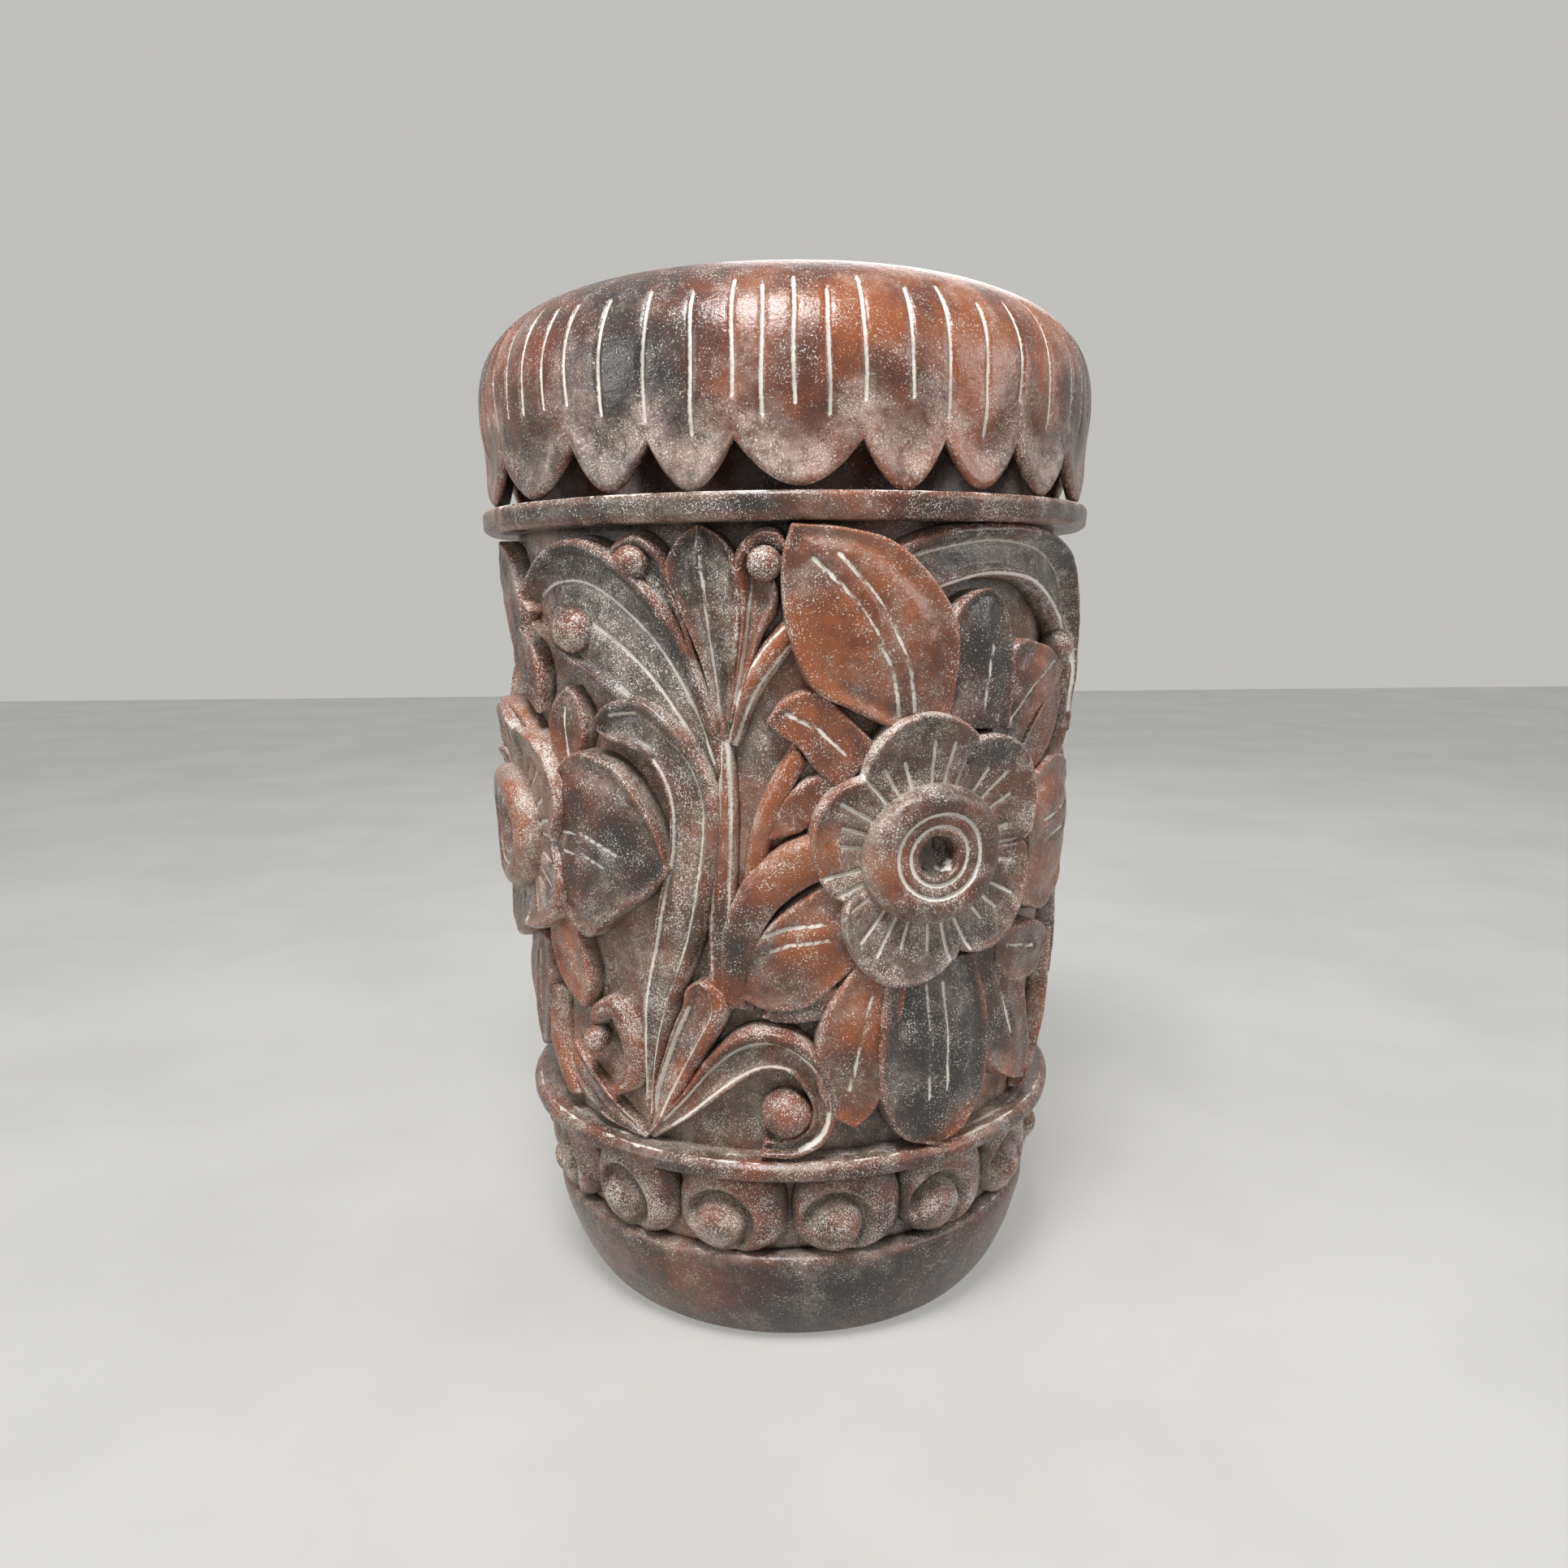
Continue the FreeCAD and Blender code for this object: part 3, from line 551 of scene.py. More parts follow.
wall_grid["points"][..., :2] *= (1 + (tooled - 0.8) / 150.0)[..., None]
neck = (wall_outline[:, 1] > band_top - 1)[None, :]
# The neck under the collar is painted a flat darker brown with little wash: painted shade.
wall_grid["smoke"] = np.where(neck, 0.62, wall_grid["smoke"] + 0.1)
wall_grid["wash"] = np.where(neck, 0.15, np.where(outer[None, :], 0.5, 0.25))
wall = mesh_from_grid("carved_drum_wall", [wall_grid], "wall_clay")
keep(wall, "drum_wall")
print("wall faces", made_pieces["drum_wall"])

# %% [markdown]
# ## The petal collar
# The collar is a dome with a skirt. Its lower edge is cut in petals, no two alike, and each one is
# pressed hollow near its tip. Lines are drawn down the dome with a pointed tool, one over each
# notch and one down each petal. Wide petals get two more. Columns of points run down the collar.
# They stand closer together at the lines, because a line is only as wide as two millimetres, and
# each column ends where its petal's edge is.

# %% The collar's petals and lines
notch_degrees = np.array(
    [-59, -37, -22, -8, 12, 26, 41, 57, 76, 95, 114, 133, 152, 171, 190, 209, 228, 246, 262, 279], float
)
notch_rise = 22.0
mouth_radius = 106.0
shoulder_z = collar_low + 57.0
skirt_thickness = 11.0
line_width_mm, line_depth_mm = 1.25, 1.5


def drawn_lines():
    """The collar's drawn lines: degrees, and the heights of their two ends."""
    lines = []
    ends = list(notch_degrees) + [notch_degrees[0] + 360]
    for i, (here, after) in enumerate(zip(ends, ends[1:])):
        lines.append((here, 545 + 3 * math.sin(5.1 * i), 491 + 6 * math.sin(2.3 * i)))
        middle = (here + after) / 2 + 0.7 * math.sin(3.7 * i)
        lines.append((middle, 543 + 4 * math.cos(4.3 * i), 487 + 9 * math.sin(1.9 * i + 1)))
        if after - here > 17.5:
            for side in (-0.24, 0.26):
                top, bottom = 541 + 5 * math.sin(i + side), 490 + 5 * math.cos(3 * i)
                lines.append((middle + side * (after - here), top, bottom))
    return lines


lines = drawn_lines()
column_step = 0.72
beside_line = np.array([-0.5, -0.22, 0, 0.22, 0.5])
columns = np.concatenate([np.arange(0, 360, column_step)] + [d + beside_line for d, _, _ in lines])
columns = np.unique(np.round(columns % 360, 2))
ends = np.append(notch_degrees, notch_degrees[0] + 360)
unwound = (columns - ends[0]) % 360 + ends[0]
petal = np.clip(np.searchsorted(ends, unwound, side="right") - 1, 0, len(notch_degrees) - 1)
half_width = (ends[petal + 1] - ends[petal]) / 2
off_middle = (unwound - (ends[petal + 1] + ends[petal]) / 2) / half_width
petal_edge = collar_low + 0.6 + notch_rise * np.abs(off_middle) ** 1.85
petal_edge += 1.2 * np.sin(petal * 2.7) * (1 - np.abs(off_middle))
print(len(lines), "drawn lines,", len(columns), "columns")

# %% [markdown]
# Each column goes once round the collar's section: up the skirt, over the dome, down the rolled
# lip of the mouth, back along the underside and down inside the skirt to the petal's edge.

# %% The collar's section
reach = collar_radius - 0.9 - mouth_radius
drop = collar_top - shoulder_z
turns = np.radians(np.linspace(0, 90, 44))
curve = 2 / 2.15
dome_r = mouth_radius + reach * np.cos(turns) ** curve
dome_z = shoulder_z + drop * np.sin(turns) ** curve
dome = np.stack([dome_r, dome_z], -1)
lip = [(103.5, collar_top - 0.8), (100, collar_top - 2.8), (96.8, collar_top - 6.5), (95.2, collar_top - 12)]
lip += [(95, collar_top - 19), (95, neck_top), (120, neck_top - 1), (140, neck_top - 1), (150, neck_top - 2)]
lip += [(160, neck_top - 10), (164.5, shoulder_z + 4)]
skirt_rows, inner_rows = 42, 10
skirt_flare, inner_flare = 2.6, 2.5
rows_r, rows_z = [], []
for k in range(skirt_rows):
    share = k / skirt_rows
    rows_z.append(petal_edge + (shoulder_z - petal_edge) * share)
    rows_r.append(collar_radius - 0.9 - skirt_flare * (1 - share) ** 2 + 0 * petal_edge)
for r, z in list(dome) + lip:
    rows_z.append(z + 0 * petal_edge)
    rows_r.append(r + 0 * petal_edge)
for k in range(inner_rows):
    share = (k + 1) / inner_rows
    rows_z.append(shoulder_z + (petal_edge + 0.5 - shoulder_z) * share)
    rows_r.append(collar_radius - skirt_thickness - 1.0 + inner_flare * share**4 + 0 * petal_edge)
grid_r, grid_z = np.array(rows_r).T, np.array(rows_z).T
outside = np.zeros(grid_r.shape, bool)
outside[:, : skirt_rows + len(dome)] = True
print("each column has", grid_r.shape[1], "points")

# %% [markdown]
# Then the clay is worked. The petals' edges are rounded, their tips are pressed hollow, a seam
# runs up from each notch, and the lines are cut.

# %% Press and draw the collar
above_edge = grid_z - petal_edge[:, None]
edge_round = 3.5
edge_turn, hollow_depth, seam_depth = 2.2, 4.0, 1.8
grid_r = grid_r - np.where(outside, edge_turn * np.clip(1 - above_edge / edge_round, 0, 1) ** 2, 0)
hollow = np.exp(-(((above_edge - 17) / 13) ** 2))
hollow = hollow * np.clip(1 - off_middle[:, None] ** 2, 0, 1) ** 1.5
seam = np.exp(-(((1 - np.abs(off_middle[:, None])) * half_width[:, None] / 1.6) ** 2))
seam = seam * np.clip(1 - above_edge / 30, 0, 1) * np.clip(above_edge / 4, 0, 1)
grid_r = grid_r - np.where(outside, hollow_depth * hollow + seam_depth * seam, 0)

groove_gap = np.full(grid_r.shape, no_line)
for degrees, top, bottom in lines:
    turn = (columns - degrees + 180) % 360 - 180
    waver = 0.9 * np.sin(grid_z / 9.0 + degrees)
    beside = grid_r * np.radians(turn)[:, None] + waver * 0.5
    beyond = np.maximum(np.maximum(grid_z - top, bottom - grid_z), 0)
    groove_gap = np.minimum(groove_gap, np.hypot(beside, beyond))
groove_gap = np.where(outside, groove_gap, no_line)
grid_r = grid_r - line_depth_mm * np.exp(-((groove_gap / line_width_mm) ** 2))

collar_points = polar(grid_r, columns[:, None], grid_z)
drift = hand_noise(collar_points, 60.0, 31) * 0.9 + hand_noise(collar_points, 17.0, 32) * 0.35
collar_points[..., :2] *= (1 + (drift - 1.0) / collar_radius * outside)[..., None]
collar_points[..., 2] = np.minimum(collar_points[..., 2], collar_top)
# Whiter film on the petals' lower parts and seams: partly lime wash, partly painted highlight.
collar_wash_and_highlight = np.where(outside, 0.5 * np.exp(-(((above_edge - 14) / 16) ** 2)) + 0.3 * seam, 0.25)
collar_rim = np.where(outside, np.minimum(above_edge, 20), 0.0) + 0.6
# The pressed hollows are painted a little darker, as painted shade.
collar_smoke_and_shade = smoke_at(collar_points) + 0.15 * hollow
collar_smoke_and_shade = np.where(above_edge < 3, collar_smoke_and_shade - 0.2, collar_smoke_and_shade)
collar_grid = {"points": collar_points, "ring": True, "smoke": collar_smoke_and_shade, "groove": groove_gap}
collar_grid.update({"rim": collar_rim, "wash": collar_wash_and_highlight})
collar = mesh_from_grid("petal_collar_dome", [collar_grid], "collar_clay")
keep(collar, "petal_collar")
print("collar faces", made_pieces["petal_collar"])

# %% [markdown]
# ## Leaves, scrolls and stems
# A sprig is a strip of clay between two rails: its left edge and its right edge. Both go from the
# sprig's root to its tip. The rails say everything about its outline, and a profile across it
# says what it is. A leaf is a low dome with a lip. A scroll has a thick rolled ridge along its
# outer edge and a hollow inside it. A fan has a keel between two flutes, and a stem is just round.
# Lines drawn on it are a few points each, or tracks that run alongside the rails.

# %% Profiles across a sprig
ridge_mm, far_ridge_mm = 9.0, 6.0


def leaf_profile(left_gap, right_gap, width):
    """A leaf is a low dome with a lip: it dips a little just inside its edges."""
    edge = np.minimum(left_gap, right_gap)
    middle = 1 - np.abs(left_gap - right_gap) / np.maximum(width, 1)
    return 0.94 - 0.16 * np.exp(-(((edge - 9) / 5.5) ** 2)) + 0.06 * middle


def scroll_profile(left_gap, right_gap, width):
    """A scroll has a rolled ridge on its outer edge, a hollow inside it and a low far ridge."""
    ridge = np.minimum(ridge_mm, 0.45 * width)
    far = np.minimum(far_ridge_mm, 0.22 * width)
    rolled = np.sqrt(np.clip(1 - (2 * left_gap / ridge - 1) ** 2, 0, 1))
    rolled_far = np.sqrt(np.clip(1 - (2 * right_gap / far - 1) ** 2, 0, 1))
    hollow = 0.5 - 0.08 * np.sin(math.pi * np.clip(left_gap / width, 0, 1))
    inside = np.where(right_gap < far, 0.54 + 0.24 * rolled_far, hollow)
    return np.where(left_gap < ridge, 0.52 + 0.48 * rolled, inside)


def fan_profile(left_gap, right_gap, width):
    """A fan has a keel down its middle and a flute on each side of it."""
    share = left_gap / np.maximum(width, 1)
    return 0.72 + 0.28 * np.cos(4 * math.pi * share)


def stem_profile(left_gap, right_gap, width):
    """A stem is round."""
    share = left_gap / np.maximum(width, 1)
    return 0.5 + 0.5 * np.sqrt(np.clip(1 - (2 * share - 1) ** 2, 0, 1))


profiles = {"leaf": leaf_profile, "scroll": scroll_profile, "fan": fan_profile, "stem": stem_profile}
print("profiles:", ", ".join(profiles))

# %% [markdown]
# The strip is laid out flat, in millimetres, where widths and gaps are easy to measure. Then each
# point goes back on the drum's swell, as far out as its height says. The strip's sides slope in a
# little and sink into the wall, so no gap shows under it.


# %% How a sprig is built
grid_step = 1.4
corner_mm, sunk_mm = 2.6, 2.0
cut_mm, cut_half_mm = 1.6, 1.5
side_bulge_mm, side_slope_mm = 0.4, 1.2


def flat(points):
    """Degrees and heights laid out flat, in mm."""
    p = np.array(points, float)
    return np.stack([wall_mid_radius * np.radians(p[:, 0]), p[:, 1]], -1)


def gap_to_lines(places, lines_flat):
    """How far each place is from the nearest of some drawn lines."""
    gap = np.full(places.shape[:-1], no_line)
    for line in lines_flat:
        for a, b in zip(line, line[1:]):
            step = b - a
            share = np.clip(((places - a) @ step) / (step @ step), 0, 1)
            gap = np.minimum(gap, np.linalg.norm(places - a - share[..., None] * step, axis=-1))
    return gap


def stand_off(places, height):
    """Flat places put back on the wall, so far out from it."""
    degrees = np.degrees(places[..., 0] / wall_mid_radius)
    return polar(wall_radius(places[..., 1]) + height, degrees, places[..., 1])


def sprig_grid(left, right, kind, thick, drawn=(), tracks=(), smoke=0.0, seed=1):
    """A sprig's closed grid of points. Thick is its height above the wall at root and tip."""
    a, b = flat(left), flat(right)
    longest = max(np.linalg.norm(np.diff(rail, axis=0), axis=1).sum() for rail in (a, b))
    rows = max(12, int(longest / grid_step))
    a, b = smooth_line(a, rows), smooth_line(b, rows)
    width = np.linalg.norm(b - a, axis=1)
    across = max(9, int(width.max() / grid_step))
    even = np.linspace(0, 1, across)
    t = even - 0.09 * np.sin(2 * math.pi * even)
    places = a[:, None] * (1 - t)[None, :, None] + b[:, None] * t[None, :, None]
    share = np.linspace(0, 1, rows)
    edge = np.minimum(t, 1 - t)[None] * width[:, None]
    to_tip = (1 - share)[:, None] * longest + 0.4
    edge = np.minimum(edge, to_tip)
    rounding = np.sqrt(1 - (1 - np.clip(edge / corner_mm, 0, 1)) ** 2)
    wide = width[:, None]
    shape = profiles[kind](t[None] * wide, (1 - t)[None] * wide, wide)
    narrow = np.clip(width / 12.0, 0.3, 1)[:, None]
    tall = np.interp(share, np.linspace(0, 1, len(thick)), thick)[:, None]
    top = tall * (1 - (1 - shape) * narrow)
    height = top - np.minimum(corner_mm, tall * 0.6) * (1 - rounding)
    gap = gap_to_lines(places, [flat(line) for line in drawn])
    for track, begin, end in tracks:
        beside = np.abs(t - track)[None] * width[:, None]
        beyond = np.maximum(np.maximum(begin - share, share - end), 0)[:, None] * longest
        gap = np.minimum(gap, np.hypot(beside, beyond))
    height = height - cut_mm * np.exp(-((gap / cut_half_mm) ** 2))
    rough = stand_off(places, height)
    height = height + 0.7 * hand_noise(rough, 16.0, seed) + 0.3 * hand_noise(rough, 6.0, seed + 1)
    height = np.maximum(height, 0.8)
    outward = (a - b) / np.maximum(width, 0.5)[:, None]
    bulge, slope = outward * side_bulge_mm, outward * side_slope_mm
    loop_places = [a + slope, a + bulge, places, b - bulge, b - slope]
    middle, sunk = height * 0.45, 0 * width - sunk_mm
    loop_heights = [sunk, middle[:, 0], height, middle[:, -1], sunk]
    flat_loop = np.concatenate([p[:, None] if p.ndim == 2 else p for p in loop_places], axis=1)
    loop_height = np.concatenate([h[:, None] if h.ndim == 1 else h for h in loop_heights], axis=1)
    points = stand_off(flat_loop, loop_height)

    def padded(inner, low, mid):
        ones = np.ones((rows, 1))
        return np.hstack([ones * low, ones * mid, inner, ones * mid, ones * low])

    low_places = np.clip((0.93 - shape) * narrow * 1.3, 0, 0.5) + np.exp(-gap / 3.0) * 0.3
    return {
        "points": points,
        "ring": False,
        "smoke": smoke_at(points) + smoke,
        "groove": padded(gap, no_line, no_line),
        "rim": padded(edge, 12.0, 4.0),
        "wash": padded(low_places * np.ones((rows, 1)), 1.0, 0.7),
    }


def half_turned(grid, smoke=0.0):
    """The same clay on the other side of the pot, with that side's smoke."""
    other = dict(grid)
    other["points"] = grid["points"] * np.array([-1.0, -1.0, 1.0])
    own = grid["smoke"] - smoke_at(grid["points"])
    other["smoke"] = smoke_at(other["points"]) + own * 0.6 + smoke
    return other


test_sprig = sprig_grid([(0, 200), (0, 240)], [(6, 200), (6, 240)], "leaf", (8, 8))
print("a small leaf has", test_sprig["points"].shape[:2], "rows and columns")

# %% [markdown]
# ## The plan of the carving
# Each entry is one sprig: its kind, its thickness from root to tip in mm, its left and right
# rails, then lines drawn on it. Places are degrees round the pot and heights in mm. A track says
# how far across it runs, and where along the sprig it begins and ends, as shares. The big orange
# leaf leans up to the left over the flower, and the tall scroll leans the other way.

# %% The plan
sprigs = {
    "leaf_top": dict(
        kind="leaf", thick=(11, 14, 15, 14), smoke=-0.34,
        left=[(19, 340), (10, 352), (4, 362), (0, 388), (-1, 418), (0.5, 437)],
        right=[(28, 340), (29.5, 379), (27, 402), (18, 428), (9, 436), (1, 438)],
        drawn=[
            [(4, 422), (10, 405), (14, 388), (17, 368), (18.5, 348)],
            [(8, 424), (13.5, 406), (17, 390), (20, 370), (21, 350)],
        ],
    ),
    "leaf_left": dict(
        kind="leaf", thick=(9, 10, 9), smoke=-0.05,
        left=[(15, 334), (9, 351), (4, 361), (-1, 356), (-3.5, 347)],
        right=[(9, 312), (4.5, 323), (1.5, 334), (-2, 341), (-3.5, 346)],
        drawn=[[(-0.5, 350), (5, 342), (9.5, 330)]],
    ),
    "leaf_upper_right": dict(
        kind="leaf", thick=(10, 12, 11), smoke=0.05,
        left=[(28, 340), (27, 372), (28, 394), (32, 405), (36, 408)],
        right=[(43, 338), (43.5, 365), (42.5, 383), (40.5, 399), (36.5, 408)],
        drawn=[[(35.5, 348), (37, 380)]],
    ),
    "leaf_right_upper": dict(
        kind="leaf", thick=(9, 11, 10), smoke=0.0,
        left=[(38, 335), (40.5, 362), (44, 381), (52, 380), (59, 374), (64, 366)],
        right=[(46, 325), (51, 343), (57, 352), (61, 357), (64, 364)],
        drawn=[[(43, 340), (50, 358), (60, 369)]],
    ),
    "leaf_right_middle": dict(
        kind="leaf", thick=(7, 9, 8), smoke=-0.15,
        left=[(46, 322), (54, 345), (60, 362), (67, 373)],
        right=[(50, 308), (57, 318), (64, 340), (67, 371)],
    ),
    "leaf_right": dict(
        kind="leaf", thick=(10, 12, 11), smoke=-0.15,
        left=[(50, 306), (60, 318), (70, 312), (77, 297), (80, 278)],
        right=[(50, 240), (59, 232), (68, 238), (76, 254), (80, 275)],
        drawn=[[(57, 283), (70, 287)], [(57, 271), (70, 275)]],
    ),
    "leaf_bottom": dict(
        kind="leaf", thick=(11, 14, 14, 12), smoke=0.25,
        left=[(17, 222), (16, 185), (16.5, 152), (21, 128), (28, 119)],
        right=[(36, 222), (39.5, 186), (40, 154), (36, 128), (28.5, 119)],
        drawn=[[(25, 210), (26, 178), (26, 148)], [(28.3, 210), (29.3, 180), (30, 150)]],
    ),
    "leaf_bottom_left": dict(
        kind="leaf", thick=(10, 12, 11), smoke=-0.35,
        left=[(12, 226), (5.5, 196), (4.5, 165), (7, 145), (11.5, 137)],
        right=[(22, 220), (20, 185), (18, 160), (15.5, 145), (12, 137)],
        drawn=[[(14.5, 207), (12.5, 182), (10.5, 158)]],
    ),
    "leaf_lower_right": dict(
        kind="leaf", thick=(8, 10, 10), smoke=-0.05,
        left=[(34, 220), (37.5, 185), (41, 160), (48, 143), (56, 134)],
        right=[(47, 224), (52.5, 200), (56, 175), (59, 152), (57, 134)],
        drawn=[[(43, 206), (49, 168)]],
    ),
    "leaf_lower_left": dict(
        kind="leaf", thick=(9, 10, 8), smoke=-0.3,
        left=[(8, 270), (-1, 253), (-6, 238), (-10, 222), (-9, 208)],
        right=[(13, 226), (8, 214), (3, 203), (-4, 201), (-8.5, 207)],
        drawn=[[(6, 246), (-1, 244), (-6, 239)], [(7, 238), (0, 236), (-5, 231)]],
    ),
    "leaf_small": dict(
        kind="leaf", thick=(7, 8, 6), smoke=-0.1,
        left=[(9, 213), (2, 211), (-3, 204), (-5.5, 197)],
        right=[(9, 196), (2, 194), (-2, 194), (-5.5, 196.5)],
    ),
    "leaf_west": dict(
        kind="leaf", thick=(10, 13, 14, 12), smoke=0.2,
        left=[(-50, 306), (-43, 325), (-37, 328), (-30, 321), (-24, 298), (-21, 272)],
        right=[(-50, 250), (-43, 233), (-39, 231), (-32, 246), (-25.5, 258), (-21.3, 270)],
        drawn=[[(-46, 285), (-39, 286), (-31, 278)], [(-45, 275), (-39, 275), (-34, 270)]],
    ),
    "leaf_west_small": dict(
        kind="leaf", thick=(7, 9, 8), smoke=-0.05,
        left=[(-46, 315), (-49, 335), (-47.5, 350), (-43, 361)],
        right=[(-41, 322), (-38.5, 340), (-40, 354), (-42.5, 361)],
        drawn=[[(-44, 325), (-44, 350)]],
    ),
    "leaf_west_narrow": dict(
        kind="leaf", thick=(7, 9, 8), smoke=0.0,
        left=[(-55, 345), (-61, 362), (-64, 378), (-60, 390)],
        right=[(-53, 345), (-51.5, 366), (-54.5, 382), (-59.5, 390)],
    ),
    "leaf_west_upper": dict(
        kind="leaf", thick=(9, 12, 12), smoke=-0.4,
        left=[(-62, 318), (-68, 334), (-74, 343), (-78, 347)],
        right=[(-49, 312), (-53, 330), (-62, 347), (-77.5, 349)],
    ),
    "leaf_west_top": dict(
        kind="leaf", thick=(7, 9, 9), smoke=0.15,
        left=[(-63, 370), (-70, 395), (-75, 420), (-72, 436)],
        right=[(-57, 385), (-59, 405), (-63, 426), (-71, 436)],
    ),
    "leaf_west_lower": dict(
        kind="leaf", thick=(8, 9, 8), smoke=-0.4,
        left=[(-55, 240), (-55, 218), (-50.5, 198), (-45, 187)],
        right=[(-45, 238), (-42, 215), (-42, 198), (-44.5, 187)],
    ),
    "leaf_west_bottom": dict(
        kind="leaf", thick=(8, 10, 9), smoke=-0.1,
        left=[(-66, 222), (-72, 195), (-72, 165), (-67, 147)],
        right=[(-56, 218), (-57, 190), (-61, 162), (-66.5, 147)],
        drawn=[[(-62, 208), (-65, 170)]],
    ),
    "leaf_far_upper": dict(
        kind="leaf", thick=(9, 11, 10), smoke=-0.1,
        left=[(-81, 316), (-85, 338), (-92, 362), (-99, 373)],
        right=[(-91, 300), (-99, 323), (-103, 350), (-99.5, 373)],
        drawn=[[(-88, 320), (-96, 356)]],
    ),
    "leaf_far_lower": dict(
        kind="leaf", thick=(9, 11, 10), smoke=0.1,
        left=[(-81, 240), (-84, 218), (-91, 189), (-99, 175)],
        right=[(-91, 256), (-99, 228), (-103, 200), (-99.5, 175)],
        drawn=[[(-88, 235), (-96, 194)]],
    ),
    "fan_leaf": dict(
        kind="fan", thick=(5, 9, 11, 10), smoke=0.3,
        left=[(-12.2, 335), (-14, 370), (-18, 400), (-20, 418), (-18, 431), (-14.5, 438)],
        right=[(-10.5, 335), (-8.5, 370), (-7.5, 400), (-8, 420), (-10.5, 432), (-14, 438)],
        drawn=[[(-13.8, 424), (-13, 390), (-11.5, 348)]],
    ),
    "fan_curl_left": dict(
        kind="scroll", thick=(6, 9, 11, 11), smoke=0.05,
        left=[(-12.8, 340), (-16, 385), (-19, 410), (-21, 427), (-25.5, 436), (-30, 430), (-30.5, 420)],
        right=[
            (-14, 340), (-18.5, 382), (-22, 400), (-23.5, 412),
            (-24.5, 419), (-26, 421), (-27.5, 419),
        ],
        tracks=[(0.4, 0.1, 0.75)],
    ),
    "fan_curl_right": dict(
        kind="scroll", thick=(6, 9, 11, 11), smoke=-0.2,
        left=[(-10, 345), (-8, 385), (-7.8, 405), (-8.5, 424), (-5.5, 435), (-1.5, 436), (0.5, 427)],
        right=[(-9, 345), (-4.5, 385), (-2, 397), (-1.5, 408), (-3, 417), (-4, 421), (-3, 423)],
        tracks=[(0.4, 0.1, 0.7)],
    ),
    "arm_left": dict(
        kind="scroll", thick=(5, 11, 14, 15, 14), smoke=0.1,
        left=[
            (-10.5, 318), (-12.5, 352), (-18, 392), (-27, 421),
            (-36, 434), (-45, 430), (-52, 413), (-50, 398),
        ],
        right=[
            (-14.5, 316), (-20.5, 334), (-28, 352), (-35, 364),
            (-41, 373), (-46, 381), (-50, 388), (-51, 396),
        ],
        tracks=[(0.34, 0.05, 0.9), (0.62, 0.15, 0.75)],
    ),
    "arm_inner": dict(
        kind="scroll", thick=(5, 9, 11, 12, 11), smoke=0.08,
        left=[
            (-29.5, 123), (-26, 165), (-20.5, 206), (-15.3, 242), (-12.3, 283),
            (-12.3, 315), (-18, 343), (-26, 358), (-33, 353), (-35, 344),
        ],
        right=[
            (-31, 123), (-30, 165), (-28.5, 204), (-24.5, 248), (-21.5, 282),
            (-21, 306), (-24.5, 326), (-29, 332), (-33, 335), (-35, 340),
        ],
        tracks=[(0.34, 0.05, 0.95), (0.88, 0.1, 0.85)],
    ),
    "arm_right": dict(
        kind="scroll", thick=(8, 12, 14, 14, 12), smoke=0.15,
        left=[
            (12, 420), (24, 435), (38, 440), (52, 437), (63, 427),
            (70, 408), (73, 380), (72.5, 350), (70, 328),
        ],
        right=[
            (12, 395), (24, 405), (35, 413), (46, 411), (54, 401),
            (60, 388), (64, 373), (67, 352), (68.5, 328),
        ],
        tracks=[(0.33, 0.05, 0.95), (0.93, 0.1, 0.7)],
    ),
    "scroll_low": dict(
        kind="scroll", thick=(5, 9, 12, 12, 11), smoke=0.0,
        left=[
            (-30.5, 124), (-22, 152), (-15, 177), (-8, 191), (0, 190),
            (6, 174), (8.6, 152), (7, 131), (1, 121), (-6, 121),
        ],
        right=[
            (-29, 121), (-20, 138), (-12, 156), (-6, 168), (-1, 168),
            (2, 159), (3.8, 148), (3, 138), (-0.5, 131.5), (-5.5, 131),
        ],
        tracks=[(0.36, 0.08, 0.9), (0.86, 0.1, 0.6)],
    ),
    "loop_low": dict(
        kind="scroll", thick=(5, 9, 12, 11), smoke=-0.1,
        left=[(-28, 126), (-20.5, 155), (-14.5, 182), (-11.5, 198), (-12.5, 210), (-16, 215)],
        right=[(-30, 128), (-27.5, 154), (-23, 185), (-20.5, 200), (-19.5, 210), (-16.5, 215)],
        tracks=[(0.34, 0.1, 0.9), (0.84, 0.1, 0.8)],
    ),
    "tendril_low": dict(
        kind="stem", thick=(7, 10, 10, 8), smoke=-0.2,
        left=[(-44, 181), (-42, 191), (-36, 198), (-31, 186), (-29.5, 165), (-31.5, 150), (-37.5, 141)],
        right=[(-41, 179), (-39, 184), (-36, 186), (-35, 180), (-34, 166), (-35.5, 155), (-38, 147)],
        tracks=[(0.5, 0.1, 0.9)],
    ),
    "scroll_east": dict(
        kind="scroll", thick=(7, 10, 9), smoke=-0.1,
        left=[(59, 124), (66, 145), (70, 175), (71, 213)],
        right=[(64, 122), (71, 145), (75, 175), (73, 213)],
    ),
    "leaf_east_small": dict(
        kind="leaf", thick=(10, 12, 11), smoke=-0.2,
        left=[(42, 231), (50, 229), (58, 226), (65.5, 213)],
        right=[(42, 212), (47, 199), (55, 196), (61, 202), (65.5, 211)],
        drawn=[[(46, 219), (55, 214)]],
    ),
    "stem_bar": dict(
        kind="stem", thick=(8, 12, 13, 12), smoke=-0.1,
        left=[(-13, 205), (-12.3, 240), (-8, 268), (-1, 286), (8, 296)],
        right=[(-8, 201), (-6.5, 230), (-3, 250), (2, 263), (9, 272)],
    ),
    "spine": dict(
        kind="stem", thick=(6, 8, 8, 6), smoke=-0.12,
